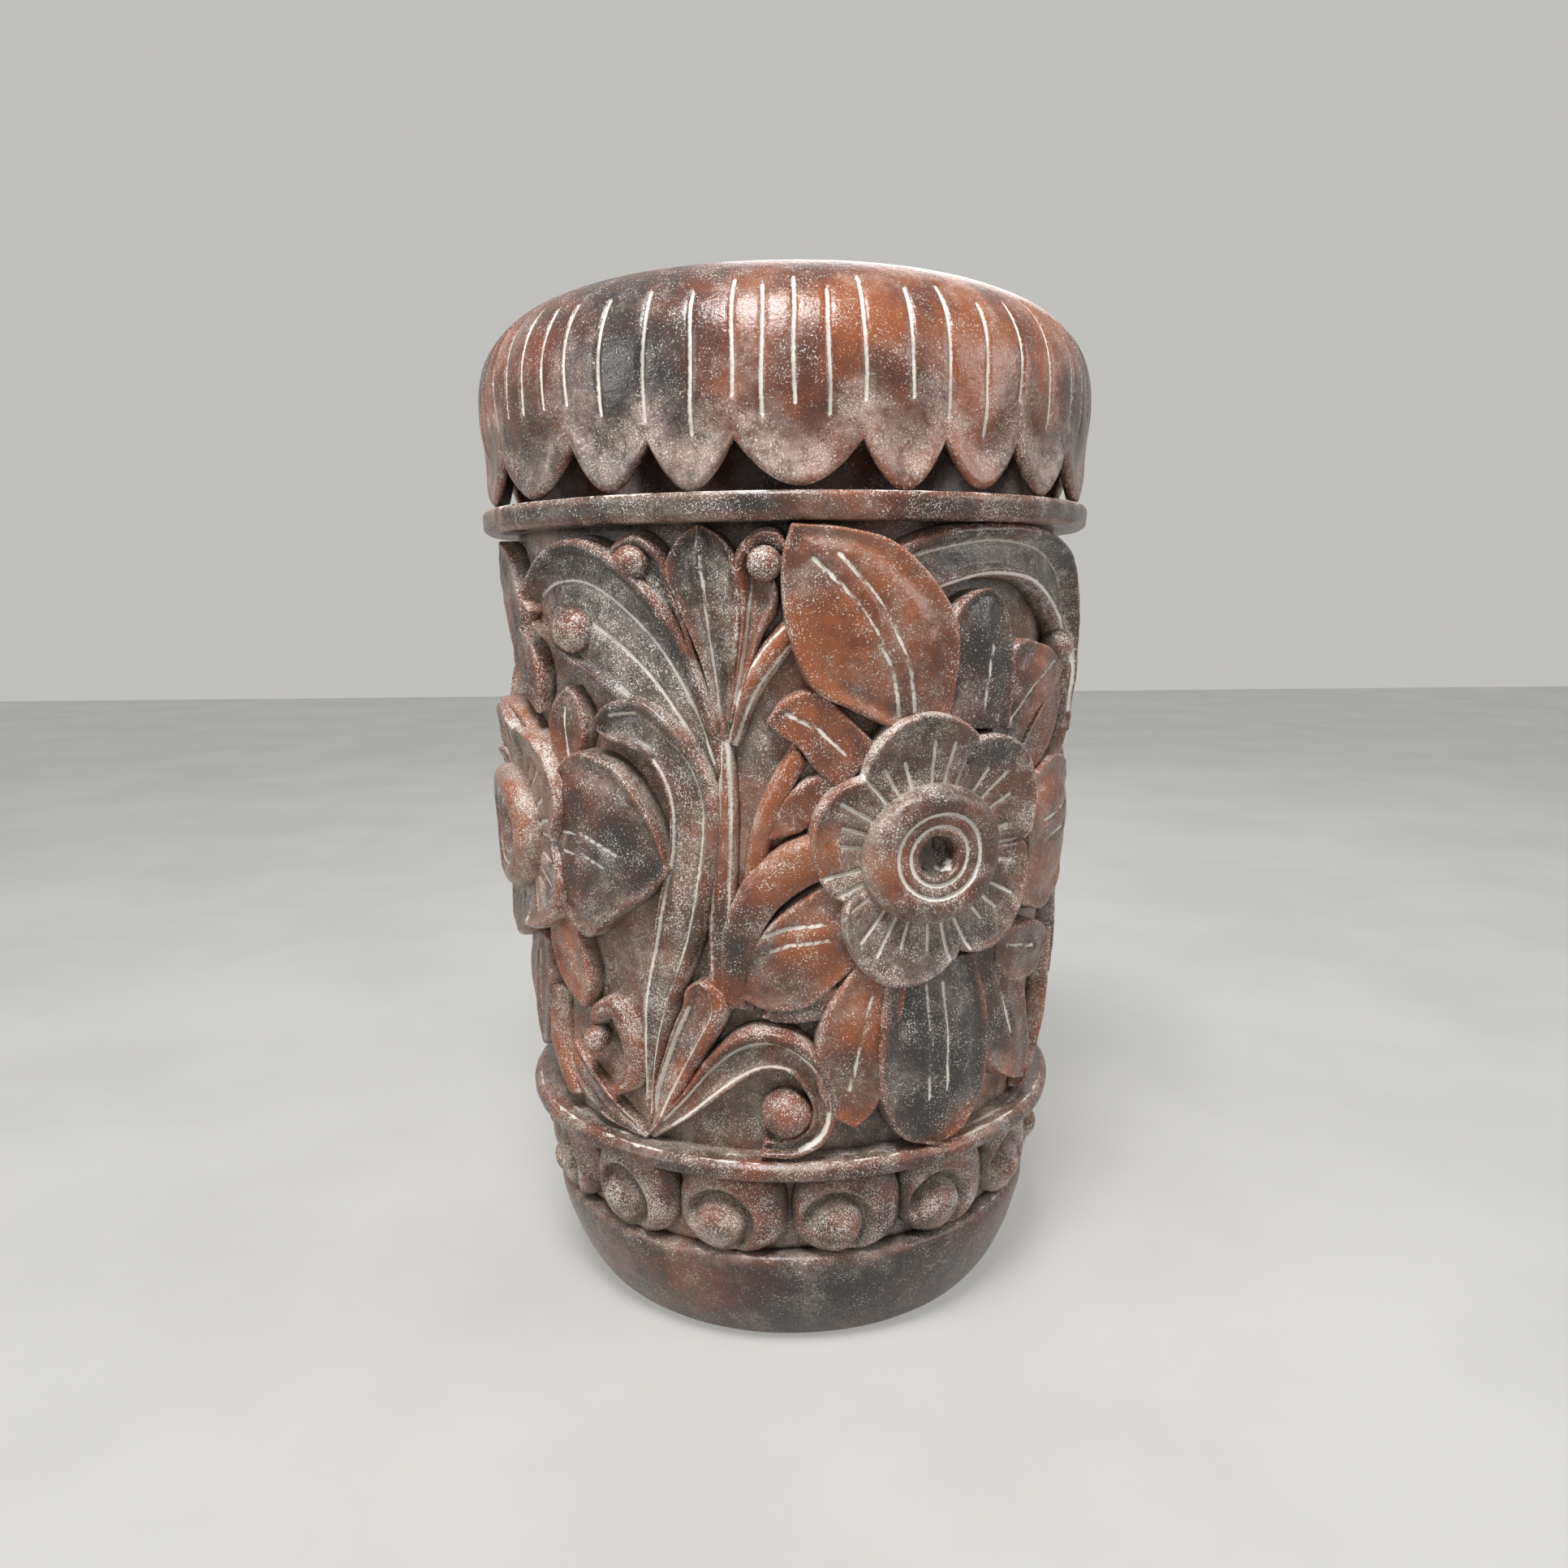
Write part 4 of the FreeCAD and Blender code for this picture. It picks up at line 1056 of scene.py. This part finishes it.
        left=[(-15.5, 200), (-14.8, 250), (-12.8, 300), (-12, 330), (-11.5, 352)],
        right=[(-10.5, 200), (-10, 250), (-9.3, 300), (-9.8, 330), (-10.8, 352)],
        tracks=[(0.22, 0.1, 0.9), (0.8, 0.2, 0.9)],
    ),
    "stem_middle": dict(
        kind="stem", thick=(5, 7, 6), smoke=-0.45,
        left=[(-8.5, 262), (-6.5, 295), (-2.5, 320), (1, 336)],
        right=[(-5, 262), (-3, 290), (0.5, 312), (3, 326)],
    ),
    "stem_upper": dict(
        kind="stem", thick=(5, 8, 7), smoke=-0.15,
        left=[(-10.8, 336), (-8.5, 362), (-4.5, 382), (1, 398)],
        right=[(-8.8, 334), (-5, 358), (-1, 374), (2.5, 386)],
        tracks=[(0.2, 0.0, 1.0), (0.8, 0.0, 1.0)],
    ),
    "stem_west": dict(
        kind="stem", thick=(7, 9, 8), smoke=-0.1,
        left=[(-59, 193), (-61.5, 165), (-59.5, 146), (-54, 129)],
        right=[(-54, 190), (-55.5, 165), (-54.5, 150), (-50.5, 131)],
    ),
}
print(len(sprigs), "sprigs planned")

# %% Low sheets, and all the sprigs
# Each sheet of clay lies low beside the sprig that it belongs to.
sheets = {
    "tendril_low": dict(
        kind="fan", thick=(6, 7, 5), smoke=0.0,
        left=[(-30, 122), (-38, 137), (-46, 152), (-52, 163)],
        right=[(-31, 120.5), (-40, 124), (-48, 132), (-54, 141)],
    ),
    "stem_middle": dict(
        kind="leaf", thick=(5, 7, 6), smoke=0.05,
        left=[(-5, 292), (-2, 306), (3, 318), (8, 322)],
        right=[(-3, 288), (2, 292), (5, 300), (8, 312)],
    ),
    "stem_bar": dict(
        kind="leaf", thick=(6, 7, 5), smoke=0.2,
        left=[(-9, 208), (-6, 226), (-3, 240), (3, 256)],
        right=[(-7, 200), (-6, 212), (-5, 226), (2, 246)],
    ),
}
for number, (node, plan) in enumerate(sprigs.items()):
    front = sprig_grid(seed=number * 3 + 40, **plan)
    grids = [front, half_turned(front, 0.1 * math.sin(number))]
    if node in sheets:
        sheet = sprig_grid(seed=number * 3 + 41, **sheets[node])
        grids += [sheet, half_turned(sheet)]
    slot_name = "leaf_clay" if node.startswith("leaf") else "scroll_clay"
    piece = mesh_from_grid(node + "_carved", grids, slot_name)
    keep(piece, node)
print(len(sprigs), "sprigs, each on both sides of the pot")

# %% [markdown]
# ## Buds
# The scrolls end in round buds that stand out like beads. They are not quite round, so each is a
# ball with a little of the hand's noise.

# %% Buds
# Each bud: degrees, height, radius and how far it stands out, then how much darker it is.
buds = {
    "bud_arm_left": (-40, 389, 12.0, 17.2, -0.1),
    "bud_arm_right": (62.5, 377, 9.0, 15.5, 0.2),
    "bud_scroll_low": (-1.0, 144, 13.0, 15.0, -0.05),
    "bud_curl_left": (-26.3, 421, 9.5, 16.5, 0.0),
    "bud_curl_right": (-3.6, 420, 8.5, 16.5, -0.2),
    "bud_tendril": (-41.5, 172, 7.5, 13.0, -0.1),
}


def ball_grid(centre, radius, smoke, seed):
    """A ball of clay, drawn as rings from pole to pole."""
    tilt = np.radians(np.linspace(2, 178, 26))[:, None]
    turn = np.radians(np.arange(0, 360, 9.0))[None, :]
    x, y, z = np.sin(tilt) * np.cos(turn), np.cos(tilt) + 0 * turn, np.sin(tilt) * np.sin(turn)
    unit = np.stack([x, y, z], -1)
    points = centre + radius * unit * (1 + 0.05 * hand_noise(unit * 10, 8.0, seed))[..., None]
    out = np.linalg.norm(points[..., :2], axis=-1) - np.linalg.norm(centre[:2])
    return {
        "points": points,
        "ring": False,
        "smoke": smoke_at(points) + smoke,
        "groove": np.full(points.shape[:2], no_line),
        # The ball's most proud side counts as an edge, so it is painted lighter and redder: wear and painted
        # highlight.
        "rim": np.clip(6 - out, 0.5, 12),
        "wash": np.clip(0.35 - out / radius * 0.6, 0, 1),
    }


for number, (node, (degrees, z, radius, proud, smoke)) in enumerate(buds.items()):
    centre = polar(wall_radius(z) + proud - radius, np.array(degrees), np.array(z))
    ball = ball_grid(centre, radius, smoke, number + 5)
    piece = mesh_from_grid(node + "_ball", [ball, half_turned(ball)], "scroll_clay")
    keep(piece, node)
print(len(buds), "buds")

# %% [markdown]
# ## The flowers
# A flower is five round petals that overlap round a fat boss. Rays were cut from the boss
# outwards, and the petals' lips turn up. It is drawn on polar paper: rings of points from the
# boss to the petals' edge, which is where the outermost of five circles lies.

# %% The flowers' outline
flower_z = (box_mm("flower_petals_right")[0][2] + box_mm("flower_petals_right")[1][2]) / 2
flower_places = {"right": 25.5, "left": -68.0}
# Each petal is a circle: how far right and up of the boss, and its radius, in mm.
petal_circles = ((-4, 37, 33.5), (29, 22, 36), (25, -17, 37), (-11, -32, 34.5), (-27, 9, 34))
boss_radius = 36.0
ray_count = 27


def petal_reach(angles):
    """The outline's reach at each angle, the place across its petal (-1 to 1) and half its span."""
    ahead = np.stack([np.cos(np.radians(angles)), np.sin(np.radians(angles))])
    reaches = []
    for right, up, size in petal_circles:
        along = right * ahead[0] + up * ahead[1]
        beside2 = right**2 + up**2 - along**2
        beyond = np.sqrt(np.clip(size**2 - beside2, 0, None))
        reaches.append(np.where(beside2 < size**2, along + beyond, 0))
    which = np.argmax(reaches, axis=0)
    seams = np.sort(angles[which != np.roll(which, 1)])
    after = np.searchsorted(seams, angles, side="right")
    start = np.where(after == 0, seams[-1] - 360, seams[after - 1])
    stop = np.where(after == len(seams), seams[0] + 360, seams[after % len(seams)])
    return np.max(reaches, axis=0), 2 * (angles - start) / (stop - start) - 1, (stop - start) / 2


def on_flower(degrees, radius, angles, height):
    """Polar places on the flower, laid on the wall with the same curve."""
    turn = np.radians(angles)
    beside = radius * np.cos(turn)
    z = flower_z + radius * np.sin(turn)
    out = wall_radius(np.clip(z, field_low, field_high)) + height
    return polar(out, degrees + np.degrees(beside / wall_mid_radius), z)


print("flowers at height", round(float(flower_z), 1), "mm")


# %% Petals with rays
def petals_grid(degrees, seed):
    """Five petals in one sheet, dished, with a seam between two petals and the rays cut in."""
    angles = np.arange(0, 360, 1.1)
    edge, across, half_span = petal_reach(angles)
    edge = edge + 0.8 * np.sin(np.radians(angles * 7 + seed * 40))
    rings = np.linspace(0, 1, 34)
    inner = boss_radius - 6
    radius = inner + (edge - inner)[:, None] * rings[None]
    to_edge = edge[:, None] - radius
    overlap = -1.5 * across[:, None] * rings[None]
    seam = np.exp(-(((1 - np.abs(across)) * half_span / 2.4) ** 2))[:, None] * rings[None]
    dish = 6.4 * rings[None] ** 1.8 + 1.3 * np.exp(-(((to_edge - 2.2) / 1.6) ** 2))
    height = 8.4 + dish + overlap - 2.2 * seam
    height = height - 2.2 * (1 - np.sqrt(1 - (1 - np.clip(to_edge / 2.4, 0, 1)) ** 2))
    gap = np.full(radius.shape, no_line)
    for k in range(ray_count):
        wander = 2.2 * math.sin(k * 2.1 + seed)
        ray = 360.0 * k / ray_count + wander
        ray_end = 53 + 5 * math.sin(k * 1.7 + seed)
        off = (angles - ray + 180) % 360 - 180
        beside = radius * np.radians(off)[:, None]
        gap = np.minimum(gap, np.hypot(beside, np.maximum(radius - ray_end, 0)))
    height = height - 1.5 * np.exp(-((gap / 1.3) ** 2))
    rough = on_flower(degrees, radius, angles[:, None], height)
    height = height + 0.5 * hand_noise(rough, 14.0, seed) + 0.25 * hand_noise(rough, 5.0, seed + 1)
    parts = [height[:, :1] * 0 - sunk_mm, height, height[:, -1:] * 0.5, height[:, -1:] * 0 - sunk_mm]
    radii = [radius[:, :1], radius, radius[:, -1:] + 0.5, radius[:, -1:] + 1.0]
    full_radius, full_height = np.hstack(radii), np.hstack(parts)
    points = on_flower(degrees, full_radius, angles[:, None], full_height)
    pad = np.ones((len(angles), 1))
    near_boss = np.exp(-(radius - boss_radius) / 7.0)
    caught = np.clip(0.3 + 0.6 * near_boss + 0.3 * seam, 0, 1)
    return {
        "points": points,
        "ring": True,
        "smoke": smoke_at(points) + 0.03,
        "groove": np.hstack([pad * no_line, gap, pad * no_line, pad * no_line]),
        "rim": np.hstack([pad * 12, to_edge, pad * 3, pad * 12]),
        "wash": np.hstack([pad, caught, pad * 0.6, pad]),
    }


print(ray_count, "rays on each flower")

# %% [markdown]
# The boss is a fat ring with a hole that was poked in wet clay. Two fine circles run round it, and
# white crumbs of lime are left low in the hole. The hole is painted darker, as painted shade.

# %% The bosses
# The boss from its middle out: distance from its middle and height above the wall.
boss_profile = [(1.5, 6.0), (6, 6.0), (8.6, 8), (10, 13.5), (12, 16.4), (14.0, 16.8)]
boss_profile += [(15.2, 16.8), (17, 17.3), (19.5, 17.9)]
boss_profile += [(21.2, 18.0), (23.5, 19.2), (27, 19.8), (30, 19.3), (33, 17.5)]
boss_profile += [(35.2, 14.5), (36, 11), (36, 4)]
boss_ring_radii = (15.0, 21.4)


def boss_grid(degrees, seed):
    """A boss, as circles of points from its middle out."""
    angles = np.arange(0, 360, 2.0)
    profile = smooth_line(boss_profile, 70)
    out_of_round = 1 + 0.015 * np.sin(np.radians(angles * 2 + 40 * seed))
    radius = profile[None, :, 0] * out_of_round[:, None]
    gap = np.min([np.abs(radius - r) for r in boss_ring_radii], axis=0)
    height = profile[None, :, 1] - 1.3 * np.exp(-((gap / 1.2) ** 2)) * (radius > 13)
    rough = on_flower(degrees, radius, angles[:, None], height)
    in_hole = 1.4 * hand_noise(rough, 4.0, seed) * (radius < 11)
    height = height + 0.5 * hand_noise(rough, 9.0, seed + 60) + in_hole
    low_side = (angles[:, None] + 50 + 180) % 360 - 180
    crumbs = 0.5 + np.abs(radius - 9.0) * 0.4 + np.abs(low_side) / 45.0
    crumbs = np.maximum(crumbs + 0.8 * hand_noise(rough, 3.0, seed + 7), 0.3)
    caught = np.where(radius < 11.5, 0.3, 0.15 + np.exp(-(boss_radius - radius) / 2.5))
    points = on_flower(degrees, radius, angles[:, None], height)
    return {
        "points": points.transpose(1, 0, 2),
        "ring": False,
        # The hole is painted darker, as painted shade.
        "smoke": (smoke_at(points) + 0.3 * (radius < 10)).T,
        "groove": np.where(radius > 12.5, gap, crumbs).T,
        "rim": np.full(radius.shape, 5.0).T,
        "wash": np.clip(caught, 0, 1).T,
    }


petal_seeds = {"right": 3, "left": 8}
for side, degrees in flower_places.items():
    for part, grid in (("petals", petals_grid(degrees, petal_seeds[side])), ("boss", boss_grid(degrees, 2))):
        name = part + "_" + side
        keep(mesh_from_grid(name, [grid, half_turned(grid)], "flower_clay"), "flower_" + name)
print("flowers at", flower_places)

# %% [markdown]
# ## The frieze
# Under the ledge runs a row of fat scrolls, each curled round a bud. One scroll is modelled at the
# front. Geometry Nodes then sets fifteen of them round the pot, each a hair out of step, because
# a potter spaces them by eye.

# %% One scroll of the frieze
scroll_count = 15
scroll_first_degrees = 11.5
frieze_middle = (foot_top + ledge_low) / 2
bud_right, bud_up, bud_size = -7.5, -5.0, 11.5
dome_mm, moat_mm = 10.5, 9.0


def scroll_unit():
    """One scroll: a domed lobe with a moat that curls round its bud."""
    angles = np.arange(0, 360, 3.0)
    turn = np.radians(angles)
    half_wide, half_tall = 29.5, 23.5
    power = np.where(np.sin(turn) > 0, 3.4, 2.3)
    sideways, upwards = np.abs(np.cos(turn)) / half_wide, np.abs(np.sin(turn)) / half_tall
    outline = (sideways**power + upwards**power) ** (-1 / power)
    rings = np.linspace(0.02, 1, 40)
    beside = (outline * np.cos(turn))[:, None] * rings
    above = (outline * np.sin(turn))[:, None] * rings
    dome = dome_mm * np.sqrt(np.clip(1 - rings**3.2, 0, 1))[None]
    right, up = beside - bud_right, above - bud_up
    round_share = ((200 - np.degrees(np.arctan2(up, right))) % 360) / 265
    curl_radius = bud_size + 1.6 + 4.5 * round_share
    fade = np.clip(round_share * 6, 0, 1) * np.clip((1 - round_share) * 8 + 0.35, 0, 1)
    fade = fade * (round_share < 1.04)
    moat = moat_mm * fade * np.exp(-(((np.hypot(right, up) - curl_radius) / 2.9) ** 2))
    height = np.maximum(dome - moat, -1.0)
    height[:, -1] = -sunk_mm
    degrees = np.degrees(beside / frieze_radius)
    points = polar(frieze_radius + height, degrees, frieze_middle + above)
    return {
        "points": points.transpose(1, 0, 2),
        "ring": False,
        "smoke": np.full(height.shape, common_smoke).T,
        "groove": np.full(height.shape, no_line).T,
        # The lobe's highest part counts as an edge, so it is painted lighter and redder: wear and painted
        # highlight.
        "rim": np.clip(9 - height, 0.5, 12).T,
        "wash": np.clip(0.1 + moat / 6 + (1 - dome / dome_mm) ** 2, 0, 1).T,
    }


unit = mesh_from_grid("scroll_unit", [scroll_unit()], "frieze_clay")
bud_degrees = np.degrees(bud_right / frieze_radius)
bud_centre = polar(frieze_radius + 2.5, bud_degrees, np.array(frieze_middle + bud_up))
bud_unit = mesh_from_grid("bud_unit", [ball_grid(bud_centre, bud_size, 0.0, 12)], "frieze_clay")
print("scroll unit", len(unit.data.polygons), "faces")

# %% [markdown]
# The node tree puts one point for each scroll, turns each by its share of the circle plus a little
# of its own, sets a copy of the pattern there, and makes one real mesh of them all.


# %% Set them round the pot
def round_the_pot(name, pattern, material):
    """A node tree that sets a pattern's copies round the pot and makes one mesh of them."""
    tree = bpy.data.node_groups.new(name, "GeometryNodeTree")
    tree.interface.new_socket("Geometry", in_out="INPUT", socket_type="NodeSocketGeometry")
    tree.interface.new_socket("Geometry", in_out="OUTPUT", socket_type="NodeSocketGeometry")
    tree.interface.new_socket("Count", in_out="INPUT", socket_type="NodeSocketInt")
    for label in ("First degrees", "Out of step"):
        tree.interface.new_socket(label, in_out="INPUT", socket_type="NodeSocketFloat")
    given = add_node(tree, "NodeGroupInput")
    shape = add_node(tree, "GeometryNodeObjectInfo", None, Object=pattern)
    points = add_node(tree, "GeometryNodePoints", None, Count=given.outputs["Count"])
    order = add_node(tree, "GeometryNodeInputIndex")
    step = sums(tree, "DIVIDE", 360.0, given.outputs["Count"])
    jitter = add_node(tree, "FunctionNodeRandomValue", {"data_type": "FLOAT"}, ID=order.outputs[0], Seed=4)
    for socket, value in zip([s for s in jitter.inputs if s.type == "VALUE"][:2], (-1.0, 1.0)):
        socket.default_value = value
    amount = next(s for s in jitter.outputs if s.type == "VALUE")
    turn = sums(tree, "ADD", sums(tree, "MULTIPLY", order.outputs[0], step), given.outputs["First degrees"])
    turn = sums(tree, "ADD", turn, sums(tree, "MULTIPLY", amount, given.outputs["Out of step"]))
    radians = add_node(tree, "ShaderNodeMath", {"operation": "RADIANS"}, in0=turn).outputs[0]
    spin = add_node(tree, "ShaderNodeCombineXYZ", None, Z=radians)
    links = {"Points": points.outputs[0], "Instance": shape.outputs["Geometry"], "Rotation": spin.outputs[0]}
    copies = add_node(tree, "GeometryNodeInstanceOnPoints", None, **links)
    real = add_node(tree, "GeometryNodeRealizeInstances", None, Geometry=copies.outputs[0])
    finish = add_node(tree, "GeometryNodeSetMaterial", None, Geometry=real.outputs[0], Material=material)
    out = add_node(tree, "NodeGroupOutput")
    tree.links.new(finish.outputs[0], out.inputs[0])
    return tree


def grown(name, tree, settings):
    """Runs a node tree on an empty mesh and returns its result as a plain mesh object."""
    host = bpy.data.objects.new(name, bpy.data.meshes.new(name))
    bpy.context.collection.objects.link(host)
    modifier = host.modifiers.new("grow", "NODES")
    modifier.node_group = tree
    for item in tree.interface.items_tree:
        if item.name in settings and item.in_out == "INPUT":
            modifier[item.identifier] = settings[item.name]
    bpy.context.view_layer.update()
    shown = host.evaluated_get(bpy.context.evaluated_depsgraph_get())
    mesh = bpy.data.meshes.new_from_object(shown)
    host.modifiers.remove(modifier)
    host.data = mesh
    return host


def own_smoke(piece, amount):
    """Gives each copy the smoke of its own place on the pot."""
    mesh = piece.data
    points = np.empty(len(mesh.vertices) * 3, np.float32)
    mesh.vertices.foreach_get("co", points)
    points = points.reshape(-1, 3).astype(float) / MM
    mesh.attributes["smoke"].data.foreach_set("value", (smoke_at(points) + amount).astype(np.float32))


settings = {"Count": scroll_count, "First degrees": scroll_first_degrees, "Out of step": 0.5}
rows = ((unit, "frieze_scrolls", "frieze_scroll_row"), (bud_unit, "frieze_buds", "frieze_bud_row"))
for pattern, node, name in rows:
    row = grown(name, round_the_pot(name + "_tree", pattern, clay["frieze_clay"]), settings)
    own_smoke(row, 0.02)
    keep(row, node)
    bpy.data.objects.remove(pattern)
    print(name, len(row.data.polygons), "faces")

# %% [markdown]
# ## The studio
# A plain pale floor and backdrop, with soft light from a big panel above and in front. The light
# is level enough that a colour looks about as it is written. The backdrop glows only where the
# camera, a gloss or a glass looks, so it doesn't add to the light that falls on the pot.


# %% Floor and backdrop
def looked_at(tree):
    """1 for a ray by which the camera, a gloss or a glass looks, and 0 for one that only lights."""
    ray = add_node(tree, "ShaderNodeLightPath").outputs
    seen = sums(tree, "MAXIMUM", ray["Is Camera Ray"], ray["Is Glossy Ray"])
    return sums(tree, "MAXIMUM", ray["Is Transmission Ray"], seen)


def studio_material(name, colour, strength):
    material = bpy.data.materials.new(name)
    material.use_nodes = True
    tree = material.node_tree
    tree.nodes.clear()
    place = add_node(tree, "ShaderNodeTexCoord").outputs["Object"]
    speck = stretch(tree, noise(tree, place, 240.0, 6.0), 0.35, 0.65)
    paler = [min(1.0, c * 1.07) for c in linear(colour)[:3]] + [1.0]
    paint = blend_colours(tree, speck, linear(colour), paler)
    shader = add_node(tree, "ShaderNodeBsdfPrincipled", None, Base_Color=paint, Roughness=0.8)
    glow = add_node(tree, "ShaderNodeEmission", None, Color=paint, Strength=strength)
    mixed = add_node(tree, "ShaderNodeMixShader", None, in0=sums(tree, "MULTIPLY", looked_at(tree), 0.5))
    tree.links.new(shader.outputs[0], mixed.inputs[1])
    tree.links.new(glow.outputs[0], mixed.inputs[2])
    out = add_node(tree, "ShaderNodeOutputMaterial")
    tree.links.new(mixed.outputs[0], out.inputs["Surface"])
    return material


def stage_sheet(name, corners, material):
    mesh = bpy.data.meshes.new(name)
    mesh.from_pydata(corners, [], [(0, 1, 2, 3)])
    mesh.materials.append(material)
    sheet = bpy.data.objects.new(name, mesh)
    bpy.context.collection.objects.link(sheet)


half_room = 4.0
corners = [(x * half_room, y * half_room, 0) for x, y in ((-1, -1), (1, -1), (1, 1), (-1, 1))]
stage_sheet("floor", corners, studio_material("pale_floor", "C9C8C4", 1.0))

world = bpy.data.worlds.new("soft_room")
bpy.context.scene.world = world
world.use_nodes = True
sky = world.node_tree
sky.nodes.clear()
room_light = add_node(sky, "ShaderNodeBackground", None, Color=linear("F4F6FA"), Strength=0.22)
room_seen = add_node(sky, "ShaderNodeBackground", None, Color=linear("CFCECB"), Strength=0.85)
room = add_node(sky, "ShaderNodeMixShader", None, in0=looked_at(sky))
sky.links.new(room_light.outputs[0], room.inputs[1])
sky.links.new(room_seen.outputs[0], room.inputs[2])
sky_out = add_node(sky, "ShaderNodeOutputWorld")
sky.links.new(room.outputs[0], sky_out.inputs["Surface"])
print("floor of", 2 * half_room, "m in a pale room")


# %% Soft light
def panel(name, place, target, size, watts):
    """A square soft light that looks at a point."""
    light = bpy.data.lights.new(name, "AREA")
    light.size = size
    light.energy = watts
    lamp = bpy.data.objects.new(name, light)
    away = np.array(place, float) - np.array(target, float)
    away /= np.linalg.norm(away)
    side = np.cross([0, 0, 1], away)
    side /= np.linalg.norm(side)
    up = np.cross(away, side)
    lamp.matrix_world = Matrix([[side[i], up[i], away[i], place[i]] for i in range(3)] + [[0, 0, 0, 1]])
    bpy.context.collection.objects.link(lamp)


panel("panel_above", (-0.15, -0.85, 1.75), (0, 0, 0.35), 0.5, 36)
panel("panel_left", (-1.7, -0.9, 1.0), (0, 0, 0.3), 0.7, 10)
panel("panel_right", (1.8, -0.5, 1.0), (0, 0, 0.3), 0.7, 10)
panel("panel_back", (0.3, 1.7, 1.4), (0, 0, 0.35), 0.9, 7)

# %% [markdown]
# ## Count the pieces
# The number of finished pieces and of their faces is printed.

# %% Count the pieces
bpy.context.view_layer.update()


print(len(made_pieces), "pieces,", sum(made_pieces.values()), "faces")
